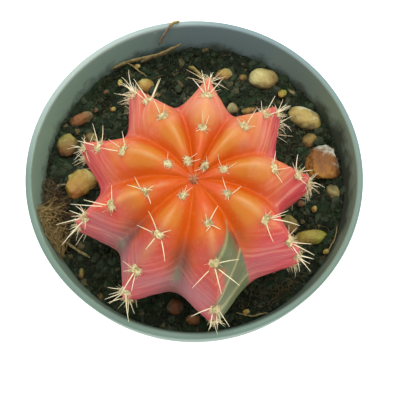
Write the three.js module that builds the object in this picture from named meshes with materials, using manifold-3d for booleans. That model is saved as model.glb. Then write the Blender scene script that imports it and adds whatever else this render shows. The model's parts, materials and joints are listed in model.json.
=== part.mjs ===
// A potted moon cactus: a nine-ribbed orange and coral scion grafted on a short three-angled green
// rootstock, in a round plastic nursery pot filled with peaty soil, river pebbles and bits of bark.
// Millimetres, +Z up. The origin is the centre of the pot's foot, and -Y is the side that faces the viewer.

import * as THREE from "three";
import { mergeVertices } from "three/addons/utils/BufferGeometryUtils.js";
import Module from "manifold-3d";

const wasm = await Module();
wasm.setup();

// Driving dimensions.
const pot = {
  height: 70,
  rimRadius: 42.5,
  rimWidth: 1.6,
  bandHeight: 9,
  wall: 1.2,
  innerTaper: 0.18,
  footWidth: 2.6,
  footRecess: 1.8,
  floor: 1.4,
  sides: 48,
  slots: 6,
  slotWidth: 3.6,
  slotLength: 9,
  slotCircle: 17,
};

const soil = { depthBelowRim: 10, gap: 0.3, rings: 7, sides: 48, relief: 0.55, mound: 1.2 };

const plant = { x: 0.1, y: -9.9, equatorAboveRim: 5, leanDeg: 2 };

const scion = {
  radius: 30,
  crownHeight: 20,
  underHeight: 12,
  baseAngle: 158,
  fullness: 0.88,
  crownDip: 2.2,
  crownDipRadius: 5,
  ribDepth: 7.5,
  ribDepthPower: 1.15,
  tubercle: 1.5,
  flank: 0.75,
  rows: 22,
};

// The ribs in order round the plant. reach scales the radius, trim shortens the tip, fill makes the groove
// after the rib shallower at the equator, turns says how far round the plant the crest is at each station,
// and areoles lists the angles from the crown, in degrees.
const stations = [10, 35, 60, 90];
const ribs = [
  { reach: 0.932, trim: 0.03, fill: 0.29, turns: [15.4, 9.5, 6.8, 6.4], areoles: [12, 38, 56, 76, 97, 116] },
  { reach: 0.988, trim: 0.05, fill: 0.16, turns: [49.3, 47.9, 45.6, 45.4], areoles: [5.6, 32.4, 50.7, 69.3, 90, 110] },
  { reach: 1.005, trim: 0.07, fill: 0.13, turns: [79.7, 81.7, 83, 83.2], areoles: [20.6, 41.4, 67, 88, 108] },
  { reach: 1.02, trim: 0.06, fill: 0.07, turns: [110.3, 116.5, 120.9, 121.6], areoles: [6.1, 29.8, 44.3, 60, 81, 103] },
  { reach: 0.99, trim: 0.03, fill: 0.24, turns: [151.7, 157, 156.9, 157.1], areoles: [10.6, 33.1, 50.3, 72.5, 93, 113] },
  { reach: 0.952, trim: 0.02, fill: 0.21, turns: [195.2, 196.8, 195.1, 193.5], areoles: [20.6, 39.1, 62.3, 86, 107] },
  { reach: 0.983, trim: 0.05, fill: 0.19, turns: [240.5, 238.2, 236.4, 236.4], areoles: [7.5, 27.6, 50.1, 73.1, 94, 114] },
  { reach: 1.019, trim: 0.045, fill: 0.37, turns: [289.5, 283.2, 280, 279.2], areoles: [18.7, 36.2, 65.2, 87, 108] },
  { reach: 0.97, trim: 0.045, fill: 0.08, turns: [334.2, 330.3, 329.4, 328], areoles: [14.3, 35.9, 56.7, 77, 98, 116] },
];
const crossSteps = [-0.65, -0.35, -0.12, 0, 0.12, 0.35, 0.65, 1]; // share of the way to the next groove

const areole = { spacing: 21, length: 2.0, width: 1.5, height: 0.9 };
const spine = { young: 2.4, full: 6.2, rootRadius: 0.3, root: 0.6, spread: 0.45, clearance: 0.6 };

const stock = { ribRadius: 8.5, grooveRadius: 5.4, buried: 16, seatGap: 0.3, sides: 36, rings: 6 };

// Pebbles on the soil: place, length, width, height, turn in degrees and colour.
const pebbles = [
  { name: "tan_oval", at: [18.8, 29.6], size: [8.2, 5.7, 4.6], turn: -8, color: 0xb9a464 },
  { name: "amber", at: [8.0, 30.8], size: [5.0, 3.7, 3.4], turn: 20, color: 0xb98a50 },
  { name: "small_amber", at: [13.2, 30.2], size: [2.4, 2.2, 2.0], turn: 0, color: 0xb98a50 },
  { name: "cream_oval", at: [29.6, 17.9], size: [9.5, 5.7, 4.6], turn: -24, color: 0xc9b878 },
  { name: "ochre", at: [30.4, 11.9], size: [4.4, 3.6, 3.2], turn: 40, color: 0xb39a55 },
  { name: "rust_rock", at: [33.2, 4.9], size: [9.4, 9.2, 7.4], turn: 15, color: 0xa8713f },
  { name: "beige", at: [36.0, -2.6], size: [4.2, 2.9, 2.8], turn: -70, color: 0xb5a27c },
  { name: "broad_tan", at: [-29.8, -0.3], size: [9.6, 7.4, 5.4], turn: 42, color: 0xa8924f },
  { name: "round_tan", at: [-33.8, 10.5], size: [6.8, 5.8, 4.6], turn: 80, color: 0xa98f50 },
  { name: "brown_curved", at: [-30.2, 18.0], size: [7.0, 3.4, 3.0], turn: 28, color: 0x8f5a3c },
  { name: "gold", at: [-13.4, 27.6], size: [5.0, 4.4, 4.0], turn: 0, color: 0xae8b44 },
  { name: "small_gold", at: [-27.6, 12.6], size: [3.4, 3.0, 2.6], turn: 0, color: 0xae9145 },
  { name: "white_chip", at: [10.2, 20.9], size: [3.4, 2.8, 2.6], turn: 60, color: 0xcdc4a0 },
  { name: "brown_chip", at: [14.6, 20.5], size: [4.0, 3.0, 2.8], turn: -10, color: 0xa58048 },
  { name: "olive_long", at: [29.6, -15.0], size: [8.6, 4.6, 3.8], turn: 12, color: 0x8f8a3c },
  { name: "olive_round", at: [24.2, -11.6], size: [5.6, 4.6, 3.6], turn: -35, color: 0x9a8a45 },
  { name: "red_round", at: [-4.8, -33.1], size: [4.6, 4.2, 3.4], turn: 0, color: 0x7d4b32 },
  { name: "dusk_beige", at: [-0.3, -36.2], size: [3.6, 3.0, 2.6], turn: 0, color: 0x8a7350 },
  { name: "orange_chip", at: [-28.6, -24.4], size: [3.2, 1.9, 1.8], turn: 100, color: 0xa0693a },
  { name: "grey_chip", at: [26.2, 26.2], size: [2.6, 2.0, 1.8], turn: 20, color: 0xb8b09a },
];

// Plant litter on the soil: twigs laid along a smooth line, and a mat of roots against the wall.
const twigs = [
  {
    name: "bark_strip",
    points: [
      [-23.2, 30.2, 61.3],
      [-18.4, 33.4, 62.0],
      [-12.8, 35.9, 62.3],
      [-7.8, 37.4, 62.9],
      [-3.0, 38.7, 64.6],
    ],
    width: 1.3,
    thickness: 0.7,
    color: 0x8d6f4a,
  },
  {
    name: "root_fibre",
    points: [
      [-9.6, 37.9, 64.4],
      [-8.9, 38.5, 66.8],
      [-7.4, 39.4, 69.8],
      [-5.8, 40.6, 71.1],
      [-4.2, 41.4, 70.7],
    ],
    width: 0.8,
    thickness: 0.7,
    color: 0x9a7444,
  },
  {
    name: "stick",
    points: [
      [-31.2, -17.9, 61.7],
      [-29.2, -19.0, 61.5],
      [-26.4, -20.4, 61.0],
    ],
    width: 1.1,
    thickness: 1.0,
    color: 0x8a6f46,
  },
];
const rootMat = { at: [-34.8, -12.0], size: [4.2, 12.4, 4.0], turn: 19, lift: 1.6, color: 0x6d5334 };

const rad = THREE.MathUtils.degToRad;
const smoothstep = THREE.MathUtils.smoothstep;
const lerp = THREE.MathUtils.lerp;
const soilLevel = pot.height - soil.depthBelowRim;
const floorTop = pot.footRecess + pot.floor;

// Shared helpers.

function randomFrom(seed) {
  let state = seed;
  return () => {
    state = (state * 1664525 + 1013904223) % 4294967296;
    return state / 4294967296;
  };
}

function toSolid(geometry) {
  const bare = geometry.index ? geometry.toNonIndexed() : geometry.clone();
  bare.deleteAttribute("normal");
  bare.deleteAttribute("uv");
  const merged = mergeVertices(bare, 1e-4);
  const mesh = new wasm.Mesh({
    numProp: 3,
    vertProperties: new Float32Array(merged.attributes.position.array),
    triVerts: new Uint32Array(merged.index.array),
  });
  return new wasm.Manifold(mesh);
}

function toGeometry(solid) {
  const mesh = solid.getMesh();
  const geometry = new THREE.BufferGeometry();
  geometry.setAttribute("position", new THREE.BufferAttribute(mesh.vertProperties, 3));
  geometry.setIndex(new THREE.BufferAttribute(mesh.triVerts, 1));
  geometry.computeVertexNormals();
  return geometry;
}

function named(name, geometry, color, roughness = 0.8) {
  const material = new THREE.MeshStandardMaterial({ color, roughness, metalness: 0 });
  const mesh = new THREE.Mesh(geometry, material);
  mesh.name = name;
  return mesh;
}

// A closed skin over rows of points, each row a ring, with a single point at each end.
function ringSkin(firstPoint, rows, lastPoint) {
  const points = [firstPoint, ...rows.flat(), lastPoint];
  const count = rows[0].length;
  const index = [];
  const at = (row, column) => 1 + row * count + (column % count);
  for (let c = 0; c < count; c++) {
    index.push(0, at(0, c), at(0, c + 1));
    for (let r = 0; r + 1 < rows.length; r++) {
      index.push(at(r, c), at(r + 1, c), at(r + 1, c + 1));
      index.push(at(r, c), at(r + 1, c + 1), at(r, c + 1));
    }
    index.push(points.length - 1, at(rows.length - 1, c + 1), at(rows.length - 1, c));
  }
  return new THREE.BufferGeometry().setFromPoints(points).setIndex(index);
}

// The pot.

function innerRadius(z) {
  return pot.rimRadius - pot.rimWidth - (pot.height - z) * pot.innerTaper;
}

function outerRadius(z) {
  return innerRadius(z) + pot.wall;
}

function buildPot() {
  const foot = outerRadius(0);
  const bead = pot.rimWidth / 2;
  const bandFoot = pot.height - pot.bandHeight;
  const profile = [
    new THREE.Vector2(0, pot.footRecess),
    new THREE.Vector2(foot - pot.footWidth - 0.5, pot.footRecess),
    new THREE.Vector2(foot - pot.footWidth, 0),
    new THREE.Vector2(foot - 0.5, 0),
    new THREE.Vector2(foot, 0.6),
    new THREE.Vector2(outerRadius(bandFoot), bandFoot),
    new THREE.Vector2(pot.rimRadius - 0.7, bandFoot),
    new THREE.Vector2(pot.rimRadius - 0.4, bandFoot + 0.4),
  ];
  const beadCentre = new THREE.Vector2(pot.rimRadius - bead, pot.height - bead);
  for (let step = 0; step <= 4; step++) {
    const turn = (step / 4) * Math.PI;
    profile.push(
      new THREE.Vector2(beadCentre.x + bead * Math.cos(turn), beadCentre.y + bead * Math.sin(turn)),
    );
  }
  profile.push(new THREE.Vector2(innerRadius(floorTop + 2), floorTop + 2));
  profile.push(new THREE.Vector2(innerRadius(floorTop) - 1.6, floorTop));
  profile.push(new THREE.Vector2(0, floorTop));
  const turned = new THREE.LatheGeometry(profile, pot.sides);
  turned.rotateX(Math.PI / 2);
  let body = toSolid(turned);
  for (let k = 0; k < pot.slots; k++) body = body.subtract(drainSlot((k * 2 * Math.PI) / pot.slots));
  return named("pot", toGeometry(body), 0x8fa9a0, 0.45);
}

function drainSlot(turn) {
  const half = pot.slotWidth / 2;
  const reach = pot.slotLength / 2 - half;
  const outline = new THREE.Shape();
  outline.absarc(reach, 0, half, -Math.PI / 2, Math.PI / 2);
  outline.absarc(-reach, 0, half, Math.PI / 2, (3 * Math.PI) / 2);
  const slot = new THREE.ExtrudeGeometry(outline, {
    depth: floorTop + 2,
    bevelEnabled: false,
    curveSegments: 5,
  });
  slot.translate(pot.slotCircle, 0, -1);
  slot.rotateZ(turn);
  return toSolid(slot);
}

// The scion: a point of its skin is found from the angle down from the crown and the place across a rib.

function crestPoint(angle, rib) {
  const turn = rad(angle);
  const full = rib.reach * scion.radius * Math.sin(turn) ** scion.fullness;
  const r = full * (1 - rib.trim * smoothstep(angle, 55, 90));
  const fall = Math.abs(Math.cos(turn)) ** scion.fullness;
  const z = angle <= 90 ? scion.crownHeight * fall : -scion.underHeight * fall;
  return [r, z - scion.crownDip * Math.exp(-((r / scion.crownDipRadius) ** 2))];
}

// Outward direction in the plane of the crest. Under the equator it is level, so that the base stays flat.
function outward(angle) {
  const across = Math.sin(rad(angle)) * scion.crownHeight;
  const up = Math.max(Math.cos(rad(angle)), 0) * scion.radius;
  const size = Math.hypot(across, up);
  return [across / size, up / size];
}

// How far round the plant a crest is: the cubic curve through the turns given for the stations.
function crestTurn(rib, angle) {
  const at = THREE.MathUtils.clamp(angle, 4, 90);
  const weight = (here) =>
    stations.filter((one) => one !== here).reduce((w, one) => (w * (at - one)) / (here - one), 1);
  return stations.reduce((sum, here, k) => sum + weight(here) * rib.turns[k], 0);
}

// Swelling under each areole: none at the areole, fullest a third of the way to the next.
function swelling(rib, angle) {
  const passed = rib.areoles.filter((one) => one <= angle).length;
  const before = passed > 0 ? rib.areoles[passed - 1] : rib.areoles[0] - areole.spacing;
  const after = passed < rib.areoles.length ? rib.areoles[passed] : before + areole.spacing;
  const share = Math.min((angle - before) / (after - before), 1);
  const young = smoothstep(angle, 2, 24) * (1 - 0.45 * smoothstep(angle, 45, 75));
  const size = young * (1 - 0.8 * smoothstep(angle, 105, 150));
  return scion.tubercle * size * Math.sin(Math.PI * share ** 0.7);
}

// Height of the skin between groove (0) and crest (1): round near the crown, a sharp keel at the equator.
function keel(x, sharp) {
  const soft = 0.05;
  const eased = (Math.hypot(x, soft) - soft) / (Math.hypot(1, soft) - soft);
  return lerp(1 - x ** 2.6, (1 - eased) ** 1.4, sharp);
}

function skinPoint(ribIndex, across, angle) {
  const rib = ribs[ribIndex];
  const step = across < 0 ? ribs.length - 1 : 1;
  const next = ribs[(ribIndex + step) % ribs.length];
  let gap = crestTurn(next, angle) - crestTurn(rib, angle);
  gap = ((gap % 360) + 360) % 360;
  if (across < 0) gap = 360 - gap;
  const turn = rad(crestTurn(rib, angle) + (across * gap) / 2);
  const x = Math.abs(across);
  const here = crestPoint(angle, rib);
  const [r, z] = crestPoint(angle, next).map((there, k) => lerp(here[k], there, x / 2));
  const [outR, outZ] = outward(angle);
  const fill = (across < 0 ? next : rib).fill * smoothstep(angle, 55, 90);
  const depth = scion.ribDepth * Math.sin(rad(angle)) ** scion.ribDepthPower * (1 - fill);
  const sharp = smoothstep(angle, 22, 62);
  const flank = scion.flank * smoothstep(angle, 0, 6) * (1 - smoothstep(angle, 30, 60));
  const swell = lerp(swelling(rib, angle), flank, x) * (1 - x ** lerp(1.5, 0.5, sharp));
  const lift = swell - depth * (1 - keel(x, sharp));
  const radius = r + outR * lift;
  return new THREE.Vector3(radius * Math.cos(turn), radius * Math.sin(turn), z + outZ * lift);
}

function scionSkin() {
  const firstRow = 3;
  const rows = [];
  for (let k = 0; k < scion.rows; k++) {
    const angle = lerp(firstRow, scion.baseAngle, k / (scion.rows - 1));
    rows.push(ribs.flatMap((rib, i) => crossSteps.map((across) => skinPoint(i, across, angle))));
  }
  const crown = new THREE.Vector3(0, 0, scion.crownHeight - scion.crownDip);
  const base = new THREE.Vector3(0, 0, rows.at(-1)[0].z);
  return ringSkin(crown, rows, base);
}

// Where an areole sits, with the directions down the crest, across the rib and out of the skin.
function areoleFrame(ribIndex, angle) {
  const place = skinPoint(ribIndex, 0, angle);
  const down = skinPoint(ribIndex, 0, angle + 1).sub(skinPoint(ribIndex, 0, angle - 1)).normalize();
  const around = new THREE.Vector3(-place.y, place.x, 0).normalize();
  const out = new THREE.Vector3().crossVectors(down, around).normalize();
  return { place, down, around, out, angle };
}

function areoleFrames() {
  return ribs.flatMap((rib, i) => rib.areoles.map((angle) => areoleFrame(i, angle)));
}

// The woolly cushion of an areole.
function woolPad(frame) {
  const young = lerp(0.55, 1, smoothstep(frame.angle, 5, 40));
  const pad = new THREE.OctahedronGeometry(1, 0);
  pad.scale(areole.length * young / 2, areole.width * young / 2, areole.height * young / 2);
  const turned = new THREE.Matrix4().makeBasis(frame.down, frame.around, frame.out);
  pad.applyMatrix4(turned.setPosition(frame.place));
  return pad;
}

// A three-sided needle that bends once: its root lies in the skin and its point is free.
function needle(root, middle, tip, radius) {
  const along = middle.clone().sub(root).normalize();
  const side = new THREE.Vector3(0.31, 0.52, 0.8).cross(along).normalize();
  const other = new THREE.Vector3().crossVectors(along, side);
  const ring = (centre, size) =>
    [0, 1, 2].map((k) => {
      const turn = (k * 2 * Math.PI) / 3;
      const point = centre.clone().addScaledVector(side, size * Math.cos(turn));
      return point.addScaledVector(other, size * Math.sin(turn));
    });
  const points = [...ring(root, radius), ...ring(middle, radius * 0.75), tip];
  const index = [0, 2, 1];
  for (let k = 0; k < 3; k++) {
    const n = (k + 1) % 3;
    index.push(k, n, 3 + n, k, 3 + n, 3 + k, 3 + k, 3 + n, 6);
  }
  return new THREE.BufferGeometry().setFromPoints(points).setIndex(index);
}

// True where a spine's point stays clear of the pot, and inside the circle of its rim.
function clearOfPot(point, toWorld) {
  const p = point.clone().applyMatrix4(toWorld);
  const r = Math.hypot(p.x, p.y);
  const aboveRim = p.z > pot.height + spine.clearance;
  const room = aboveRim ? pot.rimRadius - 0.3 : innerRadius(p.z) - spine.clearance;
  return r < room && p.z > soilLevel + 2;
}

function spinesOf(frame, random, toWorld) {
  const grown = smoothstep(frame.angle, 3, 45);
  const count = frame.angle < 15 ? 3 : frame.angle < 100 ? 5 : 4;
  const turnStart = random() * 0.5 - 0.25;
  const spines = [];
  for (let k = 0; k < count; k++) {
    const fan = ((k + 0.5) / count) * 2 * Math.PI + turnStart + (random() - 0.5) * 0.4;
    const rise = lerp(0.5, 0.95, random());
    const direction = frame.down.clone().multiplyScalar(Math.cos(fan));
    direction.addScaledVector(frame.around, Math.sin(fan)).addScaledVector(frame.out, rise).normalize();
    const bend = frame.down.clone().multiplyScalar(0.28).addScaledVector(frame.out, -0.2);
    let length = lerp(spine.young, spine.full, grown) * lerp(0.8, 1.1, random());
    if (frame.angle > 100) length *= 0.7;
    const root = frame.place
      .clone()
      .addScaledVector(frame.down, spine.spread * Math.cos(fan))
      .addScaledVector(frame.around, spine.spread * Math.sin(fan) * 0.7)
      .addScaledVector(frame.out, -spine.root);
    const reachTo = (share) =>
      frame.place
        .clone()
        .addScaledVector(direction, length * share)
        .addScaledVector(bend, length * share * share * 0.6);
    const clear = () => clearOfPot(reachTo(1), toWorld) && clearOfPot(reachTo(0.5), toWorld);
    while (length > 1 && !clear()) length *= 0.88;
    if (length > 1) spines.push(needle(root, reachTo(0.5), reachTo(1), spine.rootRadius));
  }
  return spines;
}

function buildScion(toWorld) {
  const random = randomFrom(9);
  let body = toSolid(scionSkin());
  for (const frame of areoleFrames()) {
    body = body.add(toSolid(woolPad(frame)));
    for (const one of spinesOf(frame, random, toWorld)) body = body.add(toSolid(one));
  }
  return named("scion", toGeometry(body), 0xe8744c, 0.5);
}

// The rootstock: a short three-angled stem, cut level at the graft and rounded off in the soil.

function stockSkin(grow) {
  const top = crestPoint(scion.baseAngle, { reach: 1, trim: 0 })[1] - stock.seatGap + grow;
  const foot = top - stock.buried - 9;
  const rows = [];
  for (let k = 0; k < stock.rings; k++) {
    const share = k / (stock.rings - 1);
    const taper = lerp(1, 0.72, share ** 2);
    const row = [];
    for (let c = 0; c < stock.sides; c++) {
      const turn = (c * 2 * Math.PI) / stock.sides;
      const lobe = (0.5 + 0.5 * Math.cos(3 * turn)) ** 1.6;
      const r = lerp(stock.grooveRadius, stock.ribRadius, lobe) * taper + grow;
      row.push(new THREE.Vector3(r * Math.cos(turn), r * Math.sin(turn), lerp(top, foot, share) - grow));
    }
    rows.push(row);
  }
  const topCentre = new THREE.Vector3(0, 0, rows[0][0].z);
  return ringSkin(topCentre, rows, new THREE.Vector3(0, 0, foot - 2 - grow));
}

// The soil: a plug that follows the pot's inside, with a hummocky top raised by a formula.

function soilHeight(x, y) {
  const fine = Math.sin(x * 0.55 + 1.3) * Math.cos(y * 0.48 - 0.4) + 0.6 * Math.sin(x * 1.1 - y * 0.9);
  const mound = soil.mound * Math.exp(-((x - plant.x) ** 2 + (y - plant.y) ** 2) / 320);
  return soilLevel - 0.2 + soil.relief * fine + mound;
}

function soilPlug() {
  const wallRadius = innerRadius(soilLevel) - soil.gap;
  const ring = (radius, heightOf) =>
    Array.from({ length: soil.sides }, (_, c) => {
      const turn = (c * 2 * Math.PI) / soil.sides;
      const x = radius * Math.cos(turn);
      const y = radius * Math.sin(turn);
      return new THREE.Vector3(x, y, heightOf(x, y));
    });
  const rows = [];
  for (let k = 1; k <= soil.rings; k++) rows.push(ring((wallRadius * k) / soil.rings, soilHeight));
  const seat = floorTop + soil.gap;
  rows.push(ring(innerRadius(seat + 2.2) - soil.gap, () => seat + 2.2));
  rows.push(ring(innerRadius(seat) - 1.9 - soil.gap, () => seat));
  return ringSkin(new THREE.Vector3(0, 0, soilHeight(0, 0)), rows, new THREE.Vector3(0, 0, seat));
}

// A pebble: a lumpy flattened ball, half sunk in the soil.
function pebbleShape(pebble, seed, grow) {
  const [length, width, height] = pebble.size;
  const stone = new THREE.IcosahedronGeometry(1, 1);
  const place = stone.attributes.position;
  for (let k = 0; k < place.count; k++) {
    const p = new THREE.Vector3().fromBufferAttribute(place, k);
    const lump = 1 + 0.07 * Math.sin(3.1 * p.x + seed) + 0.06 * Math.sin(4.3 * p.y - 2 * seed + 2 * p.z);
    place.setXYZ(
      k,
      p.x * lump * (length / 2 + grow),
      p.y * lump * (width / 2 + grow),
      p.z * lump * (height / 2 + grow),
    );
  }
  stone.rotateZ(rad(pebble.turn));
  const [x, y] = pebble.at;
  stone.translate(x, y, soilHeight(x, y) + height * 0.18);
  return stone;
}

// A flattened twig along a smooth line.
function twigShape(twig, grow) {
  const path = new THREE.CatmullRomCurve3(twig.points.map((p) => new THREE.Vector3(...p)));
  const outline = new THREE.Shape();
  outline.absellipse(0, 0, twig.thickness / 2 + grow, twig.width / 2 + grow, 0, 2 * Math.PI);
  return new THREE.ExtrudeGeometry(outline, {
    extrudePath: path,
    steps: twig.points.length * 2,
    curveSegments: 3,
    bevelEnabled: false,
  });
}

// A tangle of roots as one lumpy mat, lumpiest along its length.
function rootMatShape() {
  const [width, length, height] = rootMat.size;
  const mat = new THREE.IcosahedronGeometry(1, 2);
  const place = mat.attributes.position;
  for (let k = 0; k < place.count; k++) {
    const p = new THREE.Vector3().fromBufferAttribute(place, k);
    const lump = 1 + 0.12 * Math.sin(6 * p.y + 1) + 0.1 * Math.sin(9 * p.y - 4 * p.z);
    place.setXYZ(k, (p.x * lump * width) / 2, (p.y * length) / 2, (p.z * lump * height) / 2);
  }
  mat.rotateZ(rad(rootMat.turn));
  mat.translate(...rootMat.at, soilLevel + rootMat.lift);
  return mat;
}

// The assembled object.

const wholePlant = new THREE.Group();
wholePlant.position.set(plant.x, plant.y, pot.height + plant.equatorAboveRim);
wholePlant.rotation.x = rad(plant.leanDeg);
wholePlant.updateMatrixWorld(true);

const potted = new THREE.Group();
const loose = [];
pebbles.forEach((pebble, k) => {
  loose.push({
    mesh: named("pebble_" + pebble.name, pebbleShape(pebble, k + 1, 0), pebble.color, 0.75),
    socket: pebbleShape(pebble, k + 1, soil.gap),
  });
});
twigs.forEach((twig) => {
  loose.push({
    mesh: named(twig.name, twigShape(twig, 0), twig.color, 0.9),
    socket: twigShape(twig, soil.gap),
  });
});
loose.push({
  mesh: named("root_mat", rootMatShape(), rootMat.color, 0.95),
  socket: rootMatShape().translate(0, 0, -soil.gap),
});

let ground = toSolid(soilPlug());
ground = ground.subtract(toSolid(stockSkin(soil.gap).applyMatrix4(wholePlant.matrixWorld)));
for (const { socket } of loose) ground = ground.subtract(toSolid(socket));

wholePlant.add(buildScion(wholePlant.matrixWorld));
wholePlant.add(named("rootstock", stockSkin(0), 0x5f8a43, 0.6));
potted.add(buildPot());
potted.add(named("soil", toGeometry(ground), 0x2c2a20, 0.95));
potted.add(wholePlant);
for (const { mesh } of loose) potted.add(mesh);

export default potted;
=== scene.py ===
import json
import math

import bmesh
import bpy
import numpy as np
from mathutils import Matrix, Vector


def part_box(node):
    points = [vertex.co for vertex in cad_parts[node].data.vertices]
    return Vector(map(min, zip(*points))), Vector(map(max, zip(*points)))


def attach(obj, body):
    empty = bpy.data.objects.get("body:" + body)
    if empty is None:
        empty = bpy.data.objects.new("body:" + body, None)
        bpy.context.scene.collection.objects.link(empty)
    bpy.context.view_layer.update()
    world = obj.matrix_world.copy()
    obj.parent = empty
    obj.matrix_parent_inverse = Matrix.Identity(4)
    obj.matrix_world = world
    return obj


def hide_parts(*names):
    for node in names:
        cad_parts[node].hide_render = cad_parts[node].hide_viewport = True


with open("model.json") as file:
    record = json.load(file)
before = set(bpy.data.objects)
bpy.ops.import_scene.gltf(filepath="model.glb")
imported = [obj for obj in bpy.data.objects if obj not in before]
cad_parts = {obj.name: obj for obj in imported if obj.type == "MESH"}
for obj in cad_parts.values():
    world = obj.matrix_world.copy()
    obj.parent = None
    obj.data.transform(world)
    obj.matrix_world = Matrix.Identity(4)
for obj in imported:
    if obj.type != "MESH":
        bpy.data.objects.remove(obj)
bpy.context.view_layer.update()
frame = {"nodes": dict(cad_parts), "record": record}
scene = bpy.context.scene
mm = 0.001
print("frame loaded:", len(frame["nodes"]), "nodes")


# small tools used by every piece

def linearColour(hexColour):
    parts = [int(hexColour[k:k + 2], 16) / 255 for k in (1, 3, 5)]
    return [p / 12.92 if p <= 0.04045 else ((p + 0.055) / 1.055) ** 2.4 for p in parts] + [1.0]


def nodeAdder(tree):
    # The kind is the node's name without its prefix, then its operation or data type; an operation alone is a Math
    # node's. Values go to the sockets in their order, and a last dictionary names its sockets.
    def add(kind, *values, **settings):
        kind, _, mode = ("Math " * kind.isupper() + kind).partition(" ")
        node = tree.nodes.new(next(start + kind for start in (tree.bl_idname[:-4], "ShaderNode", "FunctionNode", "Node")
                                   if hasattr(bpy.types, start + kind)))
        if mode:
            settings["operation" if hasattr(node, "operation") else "data_type"] = mode
        for name, value in settings.items():
            setattr(node, name, value)
        sockets = [s for s in node.inputs if s.enabled]
        pairs = list(enumerate(values))
        if values and isinstance(values[-1], dict):
            pairs[-1:] = values[-1].items()
        for key, value in pairs:
            socket = sockets[key] if isinstance(key, int) else next(s for s in sockets if s.name == key)
            if isinstance(value, bpy.types.Node):
                value = next(s for s in value.outputs if s.enabled)
            if isinstance(value, bpy.types.NodeSocket):
                tree.links.new(value, socket)
            elif value is not None:
                coloured = isinstance(value, str) and value.startswith("#")
                socket.default_value = linearColour(value) if coloured else value
        return node
    return add


def newMaterial(name, values):
    material = bpy.data.materials.new(name)
    material.use_nodes = True
    for label, value in values.items():
        material.node_tree.nodes["Principled BSDF"].inputs[label].default_value = value
    add = nodeAdder(material.node_tree)
    return material, add, add("TexCoord").outputs["Object"]


def layColours(add, colour, layers):
    # lays each (value, colour, where it begins, where it is full, how strong) over those before it. What is left out
    # is 0, 1 and 1, and a value in quotes is read from the mesh.
    for value, paint, *limits in layers:
        none, full, most = limits + [0.0, 1.0, 1.0][len(limits):]
        if isinstance(value, str):
            value = add("Attribute", attribute_name=value).outputs["Fac"]
        colour = add("Mix RGBA", add("MapRange", value, none, full, 0.0, most), colour, paint)
    return colour


def endMaterial(material, colour, height=None, strength=0.0, depth=0.0, roughness=None):
    tree = material.node_tree
    bump = height and nodeAdder(tree)("Bump", {"Height": height, "Strength": strength, "Distance": depth * mm})
    for label, node in (("Base Color", colour), ("Normal", bump), ("Roughness", roughness)):
        if node:
            tree.links.new(next(s for s in node.outputs if s.enabled), tree.nodes["Principled BSDF"].inputs[label])
    return material


def newTree(name, sockets):
    # sockets are listed as "Label Kind, Label Kind"
    tree = bpy.data.node_groups.new(name, "GeometryNodeTree")
    for side in ("INPUT", "OUTPUT"):
        tree.interface.new_socket("Geometry", in_out=side, socket_type="NodeSocketGeometry")
    for item in (sockets + ", Material Material").split(", "):
        label, kind = item.rsplit(" ", 1)
        tree.interface.new_socket(label, in_out="INPUT", socket_type="NodeSocket" + kind)
    return tree, nodeAdder(tree), tree.nodes.new("NodeGroupInput").outputs


def endTree(tree, result, rounded=True, used=()):
    # the values in used are the tree's own and are left out of its mesh
    add = nodeAdder(tree)
    for label in used:
        result = add("RemoveAttribute", result, label)
    smooth = add("SetShadeSmooth", add("RealizeInstances", result), None, rounded)
    add("GroupOutput", add("SetMaterial", smooth, None, tree.nodes["Group Input"].outputs["Material"]))
    return tree


def shake(add, mesh, size, detail, amount):
    # moves every point by noise, any way
    noise = add("TexNoise", add("InputPosition"), size, detail)
    centred = add("VectorMath SUBTRACT", noise.outputs["Color"], (0.5, 0.5, 0.5))
    return add("SetPosition", mesh, {"Offset": add("VectorMath SCALE", centred, amount)})


def newObject(name, data):
    piece = bpy.data.objects.new(name, data)
    scene.collection.objects.link(piece)
    return piece


def growMesh(name, tree, source, values):
    piece = newObject(name, source)
    modifier = piece.modifiers.new(tree.name, "NODES")
    modifier.node_group = tree
    for item in tree.interface.items_tree:
        if item.in_out == "INPUT" and item.name in values:
            modifier[item.identifier] = values[item.name]
    depsgraph = bpy.context.evaluated_depsgraph_get()
    grown = bpy.data.meshes.new_from_object(piece.evaluated_get(depsgraph), depsgraph=depsgraph)
    piece.modifiers.remove(modifier)
    piece.data = grown
    return piece


def storeValues(mesh, values):
    for label, rows in values.items():
        rows = np.asarray(rows, dtype=np.float32)
        kind, field = ("FLOAT_VECTOR", "vector") if rows.ndim == 2 else ("FLOAT", "value")
        mesh.attributes.new(label, kind, "POINT").data.foreach_set(field, rows.ravel())


def pointMesh(name, points, values=None, edges=(), faces=()):
    mesh = bpy.data.meshes.new(name)
    mesh.from_pydata([tuple(p) for p in points], list(edges), list(faces))
    storeValues(mesh, values or {})
    return mesh


def readValues(mesh, label):
    rows = np.zeros(len(mesh.vertices), dtype=np.float32)
    mesh.attributes[label].data.foreach_get("value", rows)
    return rows


def closeMesh(piece):
    work = bmesh.new()
    work.from_mesh(piece.data)
    bmesh.ops.remove_doubles(work, verts=work.verts, dist=1e-6)
    bmesh.ops.dissolve_degenerate(work, edges=work.edges, dist=1e-7)
    bmesh.ops.recalc_face_normals(work, faces=work.faces)
    work.to_mesh(piece.data)
    work.free()


def finishPiece(piece, slot, *nodes):
    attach(piece, "root")
    if nodes:
        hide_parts(*nodes)


def mix(a, b, share):
    return a + (b - a) * share


def ease(value, low, high):
    share = np.clip((value - low) / (high - low), 0, 1)
    return share * share * (3 - 2 * share)


def toward(turn, rise=0.0):
    return Vector((math.cos(turn), math.sin(turn), rise))


def anyWay(random, size=1.0):
    return Vector(random.normal(size=3)) * size


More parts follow.
